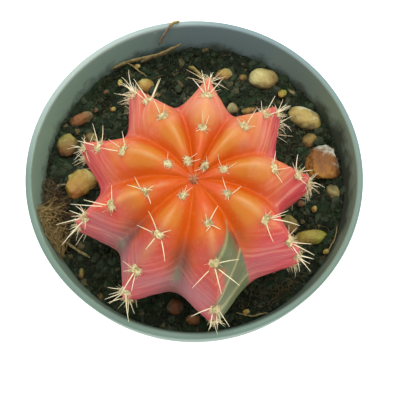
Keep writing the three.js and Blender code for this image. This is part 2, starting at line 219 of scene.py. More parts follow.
# camera, light and floor
cameraPlace = {"target": (1.449, -7.952, 70.0), "distance": 210.0, "elevation": 72.063,
               "lens": 76.204, "sensor": 36.0}
studio = {"sky": 1.1, "skyColour": "#f6faf6", "lampPower": 2.5, "lampSize": 0.42, "lampPlace": (0.05, 0.13, 0.70),
          "lampTarget": (0.0, 0.0, 0.07), "floorSize": 3.0, "floorColour": "#fbfdfb", "floorGlow": 0.42}

cameraData = bpy.data.cameras.new("photo_camera")
cameraData.lens = cameraPlace["lens"]
cameraData.sensor_width = cameraPlace["sensor"]
cameraData.clip_start = 0.01
camera = newObject("photo_camera", cameraData)
lift = math.radians(cameraPlace["elevation"])
camera.location = (Vector(cameraPlace["target"])
                   + Vector((0, -math.cos(lift), math.sin(lift))) * cameraPlace["distance"]) * mm
camera.rotation_euler = (math.pi / 2 - lift, 0, 0)
scene.camera = camera
scene.view_settings.view_transform = "Standard"

world = bpy.data.worlds.new("soft_studio")
world.use_nodes = True
world.node_tree.nodes["Background"].inputs["Color"].default_value = linearColour(studio["skyColour"])
world.node_tree.nodes["Background"].inputs["Strength"].default_value = studio["sky"]
scene.world = world

lampData = bpy.data.lights.new("window", "AREA")
lampData.energy, lampData.size = studio["lampPower"], studio["lampSize"]
lamp = newObject("window", lampData)
lamp.location = studio["lampPlace"]
lamp.rotation_euler = (Vector(studio["lampTarget"]) - lamp.location).to_track_quat("-Z", "Y").to_euler()

# Opal light table: dull white, with a weak glow of its own that lifts the pot's shadow.
boardPaint, add, place = newMaterial("opalLightTable", {
    "Roughness": 0.9, "Specular IOR Level": 0.1, "Emission Color": (1.0, 1.0, 1.0, 1.0),
    "Emission Strength": studio["floorGlow"]})
endMaterial(boardPaint, add("Mix RGBA", add("TexNoise", place, 1 / (4 * mm)), studio["floorColour"], "#ffffff"))
half = studio["floorSize"] / 2
floor = newObject("pale_floor", pointMesh("pale_floor", [
    (-half, -half, 0), (half, -half, 0), (half, half, 0), (-half, half, 0)], faces=[(0, 1, 2, 3)]))
floor.data.materials.append(boardPaint)
print("camera, light and floor set")


def unrolledGrid(add, given, columns):
    # a unit grid with a row for each point of the profile
    grid = add("MeshGrid", 1.0, 1.0, add("ADD", columns, 1.0), given["Rows"])
    place = add("SeparateXYZ", add("InputPosition")).outputs
    down = add("ADD", place["Y"], 0.5)
    row = add("ROUND", add("MULTIPLY", down, add("SUBTRACT", given["Rows"], 1.0)))
    return grid, place["X"], down, row


def aroundAxis(add, reach, turn, height):
    flat = [add("MULTIPLY", reach, add(way, turn)) for way in ("COSINE", "SINE")]
    return add("CombineXYZ", *flat, height)


def turnedTree():
    # turns a profile about the upright axis; with lobes it makes an angled stem
    tree, add, given = newTree("turned_profile", "Rows Int, Columns Int, Lobes Float, Groove Share Float")
    grid, along, _, row = unrolledGrid(add, given, given["Columns"])
    turn = add("MULTIPLY_ADD", along, 2 * math.pi, math.pi)
    profile = add("SampleIndex FLOAT_VECTOR", given["Geometry"], add("InputPosition"), row)
    corner = add("SeparateXYZ", profile).outputs
    wave = add("COSINE", add("MULTIPLY", turn, given["Lobes"]))
    lobe = add("POWER", add("MULTIPLY_ADD", wave, 0.5, 0.5), 1.6)
    share = add("MapRange", lobe, 0.0, 1.0, given["Groove Share"], 1.0)
    point = aroundAxis(add, add("MULTIPLY", corner["X"], share), turn, corner["Z"])
    skin = add("SetPosition", grid, {"Position": point})
    return endTree(tree, add("MergeByDistance", skin, {"Distance": 1e-6}))


def turnLine(name, line, columns, lobes, grooveShare, material):
    piece = growMesh(name, turned, pointMesh(name + "_line", [(r * mm, 0, z * mm) for r, z in line]), {
        "Rows": len(line), "Columns": columns, "Lobes": lobes, "Groove Share": grooveShare, "Material": material})
    closeMesh(piece)
    return piece


turned = turnedTree()


def roundedLine(corners, step=0.12):
    # corners are (radius, height, rounding) in mm; each rounding becomes a short arc
    line = [np.array(corners[0][:2], float)]
    for before, (r, z, rounding), after in zip(corners, corners[1:], corners[2:]):
        here = np.array((r, z), float)
        back = np.array(before[:2], float) - here
        ahead = np.array(after[:2], float) - here
        back, ahead = back / np.linalg.norm(back), ahead / np.linalg.norm(ahead)
        opening = math.acos(np.clip(back @ ahead, -1, 1))
        run = rounding / math.tan(opening / 2)
        count = max(3, int(math.ceil(rounding * (math.pi - opening) / (step * 2))))
        start, end = here + back * run, here + ahead * run
        for k in range(count + 1):
            t = k / count
            line.append((1 - t) ** 2 * start + 2 * t * (1 - t) * here + t * t * end)
    line.append(np.array(corners[-1][:2], float))
    return line


# the pot
potSizes = {"height": 70.0, "rimRadius": 42.5, "rimWidth": 1.6, "bandHeight": 9.0, "wall": 1.2, "innerTaper": 0.18,
            "footWidth": 2.6, "footRecess": 1.8, "floor": 1.4, "columns": 192,
            "slots": 6, "slotWidth": 3.6, "slotLength": 9.0, "slotCircle": 17.0}


def innerRadius(z):
    return potSizes["rimRadius"] - potSizes["rimWidth"] - (potSizes["height"] - z) * potSizes["innerTaper"]


def potPlastic():
    # Polypropylene, injection moulded: a grey-green satin skin and a few specks of dust. Painted light makes the far
    # side lighter and bluer, the left inner wall lighter and the far-left rim pale; inside, the wall is darker and
    # duller in patches just over the fill.
    material, add, place = newMaterial("mouldedPolypropylene", {"Roughness": 0.42, "IOR": 1.49})
    x, y, z = add("SeparateXYZ", place).outputs
    # specks of dust, half a millimetre across
    grain = add("TexVoronoi", place, 1 / (2.6 * mm))
    rare = add("GREATER_THAN", add("SeparateColor", grain.outputs["Color"]), 0.86)
    speck = add("MULTIPLY", add("MapRange", grain, 0.16, 0.05), rare)
    # the wall's inner face lies on radius = slope x height + rest, so this tells inside from outside
    reach = add("VectorMath LENGTH", add("CombineXYZ", x, y))
    slope = add("MULTIPLY_ADD", z, -potSizes["innerTaper"], reach)
    rest = (innerRadius(0) + 0.4) * mm
    inside = add("MapRange", slope, rest, rest - 0.2 * mm)
    # darker and duller in patches from the fill line up, reaching higher on the right
    rise = add("MULTIPLY_ADD", add("TexNoise", place, 1 / (5 * mm), 6.0, 0.65), 0.012, z)
    spread = add("ADD", rise, add("MapRange", x, 0.031, 0.038, 0.0, -0.0042))
    darkOverFill = add("MULTIPLY", add("MapRange", spread, 0.0694, 0.0654), inside)
    warm = add("MULTIPLY", add("MapRange", x, 0.020, 0.036), inside)
    # painted light: the inner wall up to a patchy line under the rim is lighter on the left, the side that faces the
    # light
    underRim = add("MULTIPLY", add("MapRange", rise, 0.0790, 0.0755, 0.0, 0.92), inside)
    paintedLeftWallLight = add("MULTIPLY", underRim, add("MapRange", x, -0.002, -0.037))
    # painted highlight: the rim lighter on the far left, where the light's reflection falls
    rimHighlightSide = add("MapRange", add("VectorMath DOT_PRODUCT", place, (-0.64, 0.77, 0.0)), 0.026, 0.042, 0.0, 0.55)
    paintedRimHighlight = add("MULTIPLY", rimHighlightSide, add("MapRange", z, 0.0688, 0.0694))
    cloud = add("TexNoise", place, 1 / (22 * mm), 3.0)
    # painted light: the pot lighter and bluer towards the far side than on the near side
    colour = layColours(add, "#5c7467", [
        (cloud, "#667e72"), (y, "#71878a", -0.02, 0.04), (speck, "#c3ccc0", 0.0, 1.0, 0.5), (warm, "#7a8c7a"),
        (paintedLeftWallLight, "#8ba893"), (darkOverFill, "#2c3322", 0.0, 1.0, 0.92), (paintedRimHighlight, "#bccac2")])
    # orange-peel of the mould, drawn at 0.6 mm so that it shows
    peel = add("TexNoise", place, 1 / (0.6 * mm), 2.0)
    return endMaterial(material, colour, peel, 0.08, 0.1, add("MapRange", darkOverFill, 0.0, 1.0, 0.5, 0.9))


def drainTree():
    tree, add, given = newTree("drain_slots", "Slots Int, Circle Float")
    outward = add("AxesToRotation", add("InputPosition"), (0, 0, 1), primary_axis="X", secondary_axis="Z")
    cutters = add("InstanceOnPoints", add("MeshCircle", given["Slots"], given["Circle"]), {
        "Instance": add("ObjectInfo", slotCutter).outputs["Geometry"], "Rotation": outward})
    return endTree(tree, add("MeshBoolean DIFFERENCE", given["Geometry"], add("RealizeInstances", cutters)))


floorTop = potSizes["footRecess"] + potSizes["floor"]
foot = innerRadius(0) + potSizes["wall"]
bandFoot = potSizes["height"] - potSizes["bandHeight"]
rim, lip = potSizes["rimRadius"], potSizes["rimWidth"]
potLine = roundedLine([
    (0, potSizes["footRecess"], 0),
    (foot - potSizes["footWidth"] - 0.5, potSizes["footRecess"], 0.4),
    (foot - potSizes["footWidth"], 0, 0.3),
    (foot, 0, 0.5),
    (innerRadius(bandFoot) + potSizes["wall"], bandFoot, 0.3),
    (rim - 0.7, bandFoot, 0.4),
    (rim, potSizes["height"], lip / 2 - 0.02),
    (rim - lip, potSizes["height"], lip / 2 - 0.02),
    (innerRadius(floorTop) - 0.3, floorTop, 1.6),
    (0, floorTop, 0)])
plastic = potPlastic()
pot = turnLine("nursery_pot", potLine, potSizes["columns"], 0.0, 1.0, plastic)

# one rounded slot as the cutter, laid out at every drain slot
halfWidth = potSizes["slotWidth"] / 2
slotReach = potSizes["slotLength"] / 2 - halfWidth
ring = []
for k in range(24):
    angle = k / 24 * 2 * math.pi + 0.001
    shift = slotReach if math.cos(angle) > 0 else -slotReach
    ring.append((shift + halfWidth * math.cos(angle), halfWidth * math.sin(angle)))
slotCutter = newObject("slot_cutter", pointMesh(
    "slot_cutter", [(x * mm, y * mm, z * mm) for z in (-1, 6) for x, y in ring],
    faces=[range(23, -1, -1), range(24, 48)] + [(k, (k + 1) % 24, 24 + (k + 1) % 24, 24 + k) for k in range(24)]))
drained = growMesh("pot_body", drainTree(), pot.data, {
    "Slots": potSizes["slots"], "Circle": potSizes["slotCircle"] * mm, "Material": plastic})
bpy.data.objects.remove(pot)
bpy.data.objects.remove(slotCutter)
finishPiece(drained, "pot_plastic", "pot")
print("pot turned:", len(drained.data.polygons), "faces")


# the scion's skin, lofted between rib guides
plantPlace = Matrix.Translation(Vector((0.1, -9.9, 75.0)) * mm) @ Matrix.Rotation(math.radians(2), 4, "X")
scionSizes = {"radius": 30.0, "crownHeight": 20.0, "underHeight": 12.0, "baseAngle": 158.0, "fullness": 0.88,
              "crownDip": 2.2, "crownDipRadius": 5.0, "ribDepth": 7.5, "depthPower": 1.15, "tubercle": 2.3,
              "areoleGap": 21.0, "flank": 0.75, "rows": 200, "columns": 46}
stations = [10, 35, 60, 90]
# reach scales the radius, trim shortens the tip, fill makes the groove after the rib shallower at the equator,
# turns are the crest's places at the stations, and areoles its angles from the crown
ribs = [dict(zip(("reach", "trim", "fill", "turns", "areoles"), row)) for row in (
    (0.932, 0.03, 0.29, [15.4, 9.5, 6.8, 6.4], [12, 38, 56, 76, 97, 116]),
    (0.988, 0.05, 0.16, [49.3, 47.9, 45.6, 45.4], [5.6, 32.4, 50.7, 69.3, 90, 110]),
    (1.005, 0.07, 0.13, [79.7, 81.7, 83, 83.2], [20.6, 41.4, 67, 88, 108]),
    (1.02, 0.06, 0.07, [110.3, 116.5, 120.9, 121.6], [6.1, 29.8, 44.3, 60, 81, 103]),
    (0.99, 0.03, 0.24, [151.7, 157, 156.9, 157.1], [10.6, 33.1, 50.3, 72.5, 93, 113]),
    (0.952, 0.02, 0.21, [195.2, 196.8, 195.1, 193.5], [20.6, 39.1, 62.3, 86, 107]),
    (0.983, 0.05, 0.19, [240.5, 238.2, 236.4, 236.4], [7.5, 27.6, 50.1, 73.1, 94, 114]),
    (1.019, 0.045, 0.37, [289.5, 283.2, 280, 279.2], [18.7, 36.2, 65.2, 87, 108]),
    (0.97, 0.045, 0.08, [334.2, 330.3, 329.4, 328], [14.3, 35.9, 56.7, 77, 98, 116]),
)]


def crestTurn(rib, fall):
    at = np.clip(fall, 4, 90)
    total = 0
    for here, turn in zip(stations, rib["turns"]):
        weight = 1
        for other in stations:
            if other != here:
                weight = weight * (at - other) / (here - other)
        total = total + weight * turn
    return np.radians(total)


def crestLine(rib, fall):
    tilt = np.radians(fall)
    r = rib["reach"] * scionSizes["radius"] * np.abs(np.sin(tilt)) ** scionSizes["fullness"]
    r = r * (1 - rib["trim"] * ease(fall, 55, 90))
    drop = np.abs(np.cos(tilt)) ** scionSizes["fullness"]
    z = np.where(fall <= 90, scionSizes["crownHeight"] * drop, -scionSizes["underHeight"] * drop)
    return r, z - scionSizes["crownDip"] * np.exp(-(r / scionSizes["crownDipRadius"]) ** 2)


def crestSwelling(rib, fall):
    first, last, gap = rib["areoles"][0], rib["areoles"][-1], scionSizes["areoleGap"]
    marks = np.array([first - gap, *rib["areoles"], last + gap])
    passed = np.searchsorted(marks[1:-1], fall, side="right")
    share = np.minimum((fall - marks[passed]) / (marks[passed + 1] - marks[passed]), 1)
    size = ease(fall, 2, 24) * (1 - 0.45 * ease(fall, 45, 75)) * (1 - 0.8 * ease(fall, 105, 150))
    return scionSizes["tubercle"] * size * np.sin(math.pi * share ** 0.7)


def ribGuides():
    # one row of points down each rib; the tree reads its place and the three vectors kept with it
    fall = np.linspace(0, scionSizes["baseAngle"], scionSizes["rows"] - 1)
    guides = {label: [] for label in ("place", "lift", "grooves", "outward")}
    for number, rib in enumerate(ribs):
        r, z = crestLine(rib, fall)
        side = np.sin(np.radians(fall)) * scionSizes["crownHeight"]
        up = np.maximum(np.cos(np.radians(fall)), 0) * scionSizes["radius"]
        size = np.hypot(side, up)
        depth = scionSizes["ribDepth"] * np.sin(np.radians(fall)) ** scionSizes["depthPower"]
        before, after = (depth * (1 - one["fill"] * ease(fall, 55, 90)) * mm for one in (ribs[number - 1], rib))
        between = scionSizes["flank"] * ease(fall, 0, 6) * (1 - ease(fall, 30, 60)) * mm
        turn = crestTurn(rib, fall)
        # the last row closes the base
        for label, rows, last in (("place", (turn, r * mm, z * mm), (turn[-1], 0, z[-1] * mm)),
                                  ("lift", (crestSwelling(rib, fall) * mm, between, 0 * fall), (0, 0, 0)),
                                  ("grooves", (before, after, 0 * fall), (0, 0, 0)),
                                  ("outward", (side / size, ease(fall, 22, 62), up / size), (1, 1, 0))):
            guides[label] += [np.stack(rows, 1), [last]]
    guides = {label: np.concatenate(rows) for label, rows in guides.items()}
    return pointMesh("rib_guides", guides.pop("place"), guides)


def ribbedTree():
    tree, add, given = newTree("ribbed_skin", (
        "Ribs Int, Columns Int, Rows Int, Base Angle Float, Keel Softness Float, Groove Softness Float, "
        "Keel Power Float, Round Power Float, Crease Float, Crease Size Float"))
    grid, along, down, row = unrolledGrid(add, given, add("MULTIPLY", given["Ribs"], given["Columns"]))
    ribPlace = add("MULTIPLY", add("ADD", along, 0.5), given["Ribs"])
    home = add("ROUND", ribPlace)
    offCrest = add("SUBTRACT", ribPlace, home)
    across = add("MULTIPLY", offCrest, 2.0)
    side = add("SIGN", offCrest)

    def sample(value, number):
        wrapped = add("FLOORED_MODULO", number, given["Ribs"])
        index = add("MULTIPLY_ADD", wrapped, given["Rows"], row)
        return add("SampleIndex FLOAT_VECTOR", given["Geometry"], value, index)

    def softened(value, softness):
        # keeps 0 and 1 in place and rounds off the turn at 0
        rounding = add("POWER", softness, 2.0)
        roots = [add("POWER", add("MULTIPLY_ADD", end, end, rounding), 0.5) for end in (value, 1.0)]
        return add("DIVIDE", *[add("SUBTRACT", root, softness) for root in roots])

    here = sample(add("InputPosition"), home)
    beside = sample(add("InputPosition"), add("ADD", home, side))
    lifts, outward, grooves = (add("SeparateXYZ", sample(
        add("InputNamedAttribute FLOAT_VECTOR", label), home)).outputs for label in ("lift", "outward", "grooves"))
    crest = add("SeparateXYZ", here).outputs
    step = add("SeparateXYZ", add("VectorMath SUBTRACT", beside, here)).outputs
    # the gap between two crests, always the short way round
    gap = add("FLOORED_MODULO", add("MULTIPLY", step["X"], side), 2 * math.pi)
    turn = add("MULTIPLY_ADD", offCrest, gap, crest["X"])
    x = add("ABSOLUTE", across)
    part = add("MULTIPLY", x, 0.5)
    # the groove's bottom is rounded, not a sharp fold
    x = add("SUBTRACT", 1.0, softened(add("SUBTRACT", 1.0, x), given["Groove Softness"]))
    # keel: round over the crown, a softened edge at the equator
    sharp = add("POWER", add("SUBTRACT", 1.0, softened(x, given["Keel Softness"])), given["Keel Power"])
    plump = add("SUBTRACT", 1.0, add("POWER", x, given["Round Power"]))
    keel = add("Mix", outward["Y"], plump, sharp)
    fade = add("SUBTRACT", 1.0, add("POWER", x, add("MapRange", outward["Y"], 0.0, 1.0, 1.5, 0.5)))
    raised = add("MULTIPLY", add("Mix", x, lifts["X"], lifts["Y"]), fade)
    depth = add("Mix", add("GREATER_THAN", side, 0.0), grooves["X"], grooves["Y"])
    lift = add("SUBTRACT", raised, add("MULTIPLY", add("SUBTRACT", 1.0, keel), depth))
    radius, height = (add("MULTIPLY_ADD", outward[way], lift, add("MULTIPLY_ADD", step[own], part, crest[own]))
                      for way, own in ("XY", "ZZ"))
    skin = grid
    for label, value in (("fall", add("MULTIPLY", down, given["Base Angle"])), ("across", across), ("rib", home)):
        skin = add("StoreNamedAttribute", skin, None, label, value)
    skin = add("SetPosition", skin, {"Position": aroundAxis(add, radius, turn, height)})
    skin = add("MergeByDistance", skin, {"Distance": 2e-6})
    # slight unevenness of living flesh
    rough = add("TexNoise", add("InputPosition"), given["Crease Size"], 2.0)
    amount = add("MULTIPLY", add("SUBTRACT", rough, 0.5), given["Crease"])
    return endTree(tree, add("SetPosition", skin, {"Offset": add("VectorMath SCALE", add("InputNormal"), amount)}))


def cactusFlesh():
    # Flesh of a mutant moon cactus with no green in it: waxy, translucent, orange where young and coral where old,
    # with pale stripes of stretched tissue running down the flanks; painted highlights lie along the young crests and
    # on the far ribs, and painted shade on the flanks that face the viewer.
    material, add, place = newMaterial("waxyCactusFlesh", {
        "Roughness": 0.47, "IOR": 1.42, "Subsurface Weight": 0.15, "Subsurface Scale": 0.9 * mm,
        "Subsurface Radius": (1.0, 0.35, 0.2), "Specular IOR Level": 0.34})
    paints = {"rosy": "#ba333e", "cushion": "#c06d1c", "depth": "#c25004", "glow": "#cc5b06", "veil": "#d88e66",
              "ridge": "#cb9c68", "dusk": "#86443a", "mauve": "#9a5f66", "gloom": "#5a3a36"}
    fall, across, rib, pale, *shares = (add("Attribute", attribute_name=label).outputs["Fac"]
                                        for label in ("fall", "across", "rib", "pale", *paints))
    drift = add("TexNoise", place, 1 / (5 * mm), 3.0)
    speck = add("TexNoise", place, 1 / (0.7 * mm), 3.0)
    # stripes: noise stretched along the lines that run from crest to groove
    lay = add("MULTIPLY_ADD", add("ABSOLUTE", across), 17.0, fall)
    lines = add("CombineXYZ", add("MULTIPLY_ADD", drift, 5.0, lay), add("MULTIPLY", across, 0.7),
                add("MULTIPLY", rib, 9.3))
    stripe = add("TexNoise", lines, 0.34, 2.5, 0.6)
    colour, loose = "#c44428", add("SUBTRACT", drift, 0.5)
    for share, paint in zip(shares, paints.values()):
        colour = layColours(add, colour, [(add("MULTIPLY_ADD", loose, 0.5, share), paint, 0.08, 0.95)])
    paler = add("MULTIPLY", add("MapRange", stripe, 0.48, 0.66), pale)
    # the sector that kept its green: grey-green tissue with pale yellow veins; pores lie 0.7 mm apart
    colour = layColours(add, colour, [
        (paler, "#de937c", 0.0, 1.0, 0.62), ("sector", add("Mix RGBA", stripe, "#3c4329", "#767c55")),
        ("vein", "#a09a68"), ("tint", "#5f6852", 0.0, 1.0, 0.75), (speck, "#dca07a", 0.58, 0.8, 0.18)])
    return endMaterial(material, colour, add("MULTIPLY_ADD", stripe, 0.6, speck), 0.35, 0.12)


def paintScion(mesh):
    fall, across, rib = (readValues(mesh, label) for label in ("fall", "across", "rib"))
    rib = np.mod(np.round(rib), len(ribs)).astype(int)
    side, left, right = np.abs(across), across < 0, across > 0
    # flanks that face the viewer lie in shade, painted on them as darker, duller colour; their mauve is partly their
    # own and partly painted shade; 1 is the dullest
    lee = np.select([(rib == 6) & left, rib == 6, (rib == 7) & left, (rib == 5) & right, (rib == 8) & left],
                    [1.0, 0.75, 0.9, 0.7, 0.3], 0.0)
    away = np.array([0.25, 0.6, 1.0, 0.6, 0.25, 0, 0, 0, 0])[rib]
    # young orange cushions begin at the first areole and reach less far down on the near ribs
    first = np.array([one["areoles"][0] for one in ribs])[rib]
    reach = np.array([44, 40, 36, 38, 38, 32, 25, 25, 36])[rib]
    hump = np.zeros(len(fall))
    for number, one in enumerate(ribs):
        mine = rib == number
        hump[mine] = np.clip(crestSwelling(one, fall[mine]) / scionSizes["tubercle"] * 1.3, 0, 1)
    swollen = ease(fall, first - 13, first - 1) * (1 - ease(fall, reach - 10, reach + 8)) * (0.5 + 0.5 * hump)
    hollow = ease(side - 0.14 * hump, 0.2, 0.7) * (1 - ease(fall, 32, 58)) * 0.95
    hollow = hollow * (1 - 0.5 * away * ease(fall, 12, 26))
    shaded = np.where((rib == 7) & right, 0.9, lee) * np.where(rib == 6, 1, ease(side, 0, 0.15))
    shaded = np.where((rib == 7) & (across > -0.1), 0.9, shaded)
    # painted shade deep in the groove on rib 7's right flank
    paintedCleftShade = 0.6 * ((rib == 7) & right) * ease(side, 0.72, 0.9) * ease(fall, 24, 32) * (1 - ease(fall, 42, 54))
    # the green sector: its upper edge, a pink patch under the areole, and its pale veins
    lay = fall - 17 * (1 - side)
    onSector = (rib == 7) & (across > -0.2)
    top = ease(fall + 11 * across, 30.5, 35) * ease(across, -0.02 - 0.1 * ease(fall, 53, 60), 0.12)
    patch = ease(fall, 38.5, 41) * (1 - ease(fall, 51, 57)) * (1 - ease(across, 0.15, 0.33))
    edge = 1 - ease(across, 0.93, 1.0)
    vein = np.exp(-((lay - (38 + 5 * (1 - ease(across, 0.0, 0.4)))) / 1.3) ** 2)
    vein = vein + 0.8 * np.exp(-((lay - 20.3) / 1.0) ** 2) + 0.55 * np.exp(-((fall - 69) / 2.2) ** 2)
    # green left in the grooves, partly the flesh's own and partly painted shade on the flanks that face the viewer, as
    # (rib, side, middle, where it begins)
    tint = sum(np.exp(-((fall - middle) / 9) ** 2) * ease(way * across, begin, 1) * (rib == k)
               for k, way, middle, begin in ((6, -1, 60, 0.75), (5, 1, 60, 0.8), (6, 1, 50, 0.75), (7, -1, 50, 0.8)))
    storeValues(mesh, {
        "cushion": swollen * (1 - 0.85 * ease(side - 0.16 * hump, 0.30, 0.84)),
        "depth": np.maximum(hollow, 0.9 * (1 - ease(fall, first - 13, first - 2))),
        # painted highlight: a pale lustre on the ribs that point away from the viewer, towards the lamp
        "veil": 0.5 * away * ease(fall, 15, 30) * (1 - ease(side, 0.7, 1)) * (1 - ease(fall, 50, 64)),
        "dusk": 0.5 * shaded * ease(fall, 16, 32) * (1 - 0.6 * ease(fall, 60, 75)),
        "glow": 0.4 * ease(side, 0.5, 0.9) * (1 - ease(fall, 34, 60)) * (1 - lee * ease(fall, 12, 30)),
        # painted highlight: a pale line along each young crest
        "ridge": 0.42 * np.exp(-(across / 0.18) ** 2) * ease(fall, 5, 11) * (1 - ease(fall, 34, 50))
        * (0.25 + 0.75 * hump),
        "rosy": ease(fall, 32 - 12 * lee - 10 * (rib == 8), 74 - 18 * lee - 8 * (rib == 8)),
        "pale": ease(fall, 26, 48) * (1 - 0.6 * lee) * (1 - 0.3 * ((rib == 4) | (rib == 8))),
        "mauve": lee * ease(side, 0, 0.2) * ease(fall, 36, 62) * (0.5 + 0.5 * ease(side, 0.1, 0.7)),
        "gloom": 0.75 * lee * ease(side, 0.45, 0.95) * ease(fall, 20, 42) + paintedCleftShade,
        "sector": onSector * top * (1 - patch) * edge * (1 - ease(across, 0.75, 0.9) * (1 - ease(fall, 36, 43))),
        "vein": onSector * np.clip(vein, 0, 1) * edge * ease(across, 0.02, 0.12),
        "tint": np.clip(tint, 0, 1)})


skin = growMesh("scion_skin", ribbedTree(), ribGuides(), {
    "Ribs": len(ribs), "Columns": scionSizes["columns"], "Rows": scionSizes["rows"],
    "Base Angle": scionSizes["baseAngle"], "Keel Softness": 0.05, "Groove Softness": 0.12, "Keel Power": 1.4,
    "Round Power": 2.6, "Crease": 0.45 * mm, "Crease Size": 1 / (3.5 * mm), "Material": cactusFlesh()})
closeMesh(skin)
skin.data.transform(plantPlace)
paintScion(skin.data)
finishPiece(skin, "scion_flesh", "scion")
print("scion skin lofted:", len(skin.data.polygons), "faces")


# areoles: where they sit, their wool and their spines

def areoleFrame(number, fall):
    rib = ribs[number]

    def crest(at):
        r, z = crestLine(rib, np.array(float(at)))
        turn = crestTurn(rib, float(at))
        return Vector((float(r) * math.cos(turn), float(r) * math.sin(turn), float(z))) * mm
    place = crest(fall)
    down = (crest(fall + 1) - crest(fall - 1)).normalized()
    around = Vector((-place.y, place.x, 0)).normalized()
    out = down.cross(around).normalized()
    turn = plantPlace.to_3x3()
    return {"place": plantPlace @ place, "down": turn @ down, "around": turn @ around, "out": turn @ out,
            "fall": fall, "rib": number}


areoles = {(number, k): areoleFrame(number, fall)
           for number, rib in enumerate(ribs) for k, fall in enumerate(rib["areoles"])}

woolSizes = {"length": 3.2, "width": 2.3, "height": 1.3, "hairs": 70, "hairLength": 1.1, "hairRadius": 0.045}
spineSizes = {"young": 2.4, "full": 5.6, "rootRadius": 0.155, "tipShare": 0.28, "steps": 9, "sides": 5,
              "clearance": 0.6}

# Spines that the photo shows, as (heading in the plan, length in mm) for each areole: 0 is right, 90 is away.
spinesSeen = {
    (7, 1): [(15, 4.9), (-40, 6.8), (-81, 5.5), (225, 6.0)],
    (7, 2): [(203, 6.4), (-66, 3.3), (-98, 4.6), (-86, 4.9), (-50, 4.0)],
    (7, 3): [(-20, 2.8), (-75, 2.4), (-115, 2.2)],
    (7, 0): [(61, 4.1), (100, 2.3), (-24, 2.6), (-120, 2.2)],
    (8, 1): [(-90, 4.9), (-8, 6.0), (23, 3.7), (10, 3.2), (75, 1.6)],
    (8, 0): [(119, 2.9), (29, 2.4), (-97, 1.8), (170, 1.5)],
    (8, 2): [(45, 2.8), (-60, 4.6), (5, 2.5), (95, 2.3), (-30, 2.6)],
    (8, 3): [(-25, 3.6), (-45, 3.4), (0, 3.2), (-65, 3.5), (20, 2.8), (-80, 2.4)],
    (6, 1): [(107, 4.6), (155, 4.2), (4, 2.5), (-73, 5.3), (-111, 3.4)],
    (6, 2): [(140, 3.1), (-117, 4.5), (-84, 2.9), (186, 2.4), (60, 1.6)],
    (6, 3): [(195, 5.6), (187, 4.5), (210, 4.2), (176, 4.0), (-94, 6.7)],
    (6, 0): [(40, 3.0), (62, 2.4), (-150, 1.2)],
    (1, 0): [(-140, 3.4), (-112, 3.0), (80, 1.2)], (3, 0): [(-8, 3.4), (20, 2.0), (150, 1.2)],
    (5, 0): [(110, 2.6), (160, 2.8), (-60, 3.0), (20, 2.2), (-10, 1.8)],
    (5, 1): [(187, 5.0), (172, 4.6), (93, 4.4), (-80, 1.6)],
    (5, 2): [(213, 7.2), (135, 3.4), (112, 2.6), (167, 3.2), (190, 4.0), (-100, 2.2), (150, 4.2)],
    (4, 0): [(-60, 1.8), (-100, 1.6), (80, 1.4)],
    (4, 1): [(77, 3.5), (190, 3.7), (151, 2.4), (-20, 1.6)],
    (4, 2): [(104, 4.9), (74, 4.7), (180, 3.0), (-120, 1.8)],
    (3, 1): [(120, 1.6), (60, 1.8), (-60, 1.6), (-130, 1.5)],
    (3, 2): [(67, 6.2), (71, 5.9), (131, 4.4), (150, 4.0), (-70, 1.5)],
    (2, 0): [(100, 1.8), (50, 1.6), (-80, 1.8), (-130, 1.6)],
    (2, 1): [(130, 4.8), (36, 4.5), (75, 3.0), (105, 3.4), (-90, 1.4)],
    (1, 1): [(150, 2.2), (60, 2.0), (-20, 2.4), (-50, 1.8)],
    (1, 2): [(95, 3.2), (60, 3.4), (170, 2.4), (20, 3.0)],
    (0, 0): [(128, 3.6), (25, 2.0), (-60, 1.6), (170, 1.6)],
    (0, 1): [(80, 4.4), (-59, 3.5), (-15, 2.7), (120, 2.2)],
    (0, 2): [(92, 4.2), (20, 3.8), (50, 2.6), (-40, 2.4), (130, 2.2)],
}
# Tufts at the rib tips, as (first heading, last heading, count, length).
tufts = {(2, 2): (8, 168, 18, 3.9), (1, 3): (-15, 100, 16, 3.6), (3, 3): (85, 205, 17, 3.9),
         (4, 3): (80, 260, 16, 3.2), (0, 3): (-65, 60, 18, 3.3), (1, 4): (-50, 30, 9, 4.2), (1, 5): (-40, 12, 7, 5.6),
         (2, 3): (20, 150, 8, 3.4), (3, 4): (80, 200, 8, 3.4), (0, 4): (-60, 50, 11, 3.4),
         (8, 4): (-85, 10, 9, 3.2), (5, 3): (140, 250, 8, 3.2), (4, 4): (110, 220, 9, 3.2)}


def clearOfPot(point):
    r = math.hypot(point.x, point.y) / mm
    z = point.z / mm
    if z > potSizes["height"] + spineSizes["clearance"]:
        return r < potSizes["rimRadius"] - 0.3
    return r < innerRadius(z) - spineSizes["clearance"] and z > 62.5


def planSpine(spot, heading, length, rise):
    # a direction with this heading in the plan that leaves the skin at the given rise, and steeper along the
    # crest, where the next swelling is in the way
    flat = toward(math.radians(heading))
    rise = rise + 0.5 * abs(flat.dot(spot["down"])) ** 2
    climb = (rise - flat.dot(spot["out"])) / max(spot["out"].z, 0.3)
    return (flat + Vector((0, 0, max(-0.6, min(1.4, climb))))) * length * mm


def clearOfSkin(start, aim, sag, out):
    # lifts a spine that would dive under the next swelling
    for _ in range(40):
        for share in (0.25, 0.35, 0.5, 0.65, 0.8, 1.0):
            point = start + aim * share + sag * share * share
            _, near, normal, _ = skin.closest_point_on_mesh(point)
            if (point - near).dot(normal) < min(0.2, share - 0.25) * mm:
                aim = aim + out * 0.06 * aim.length
                break
        else:
            break
    return aim


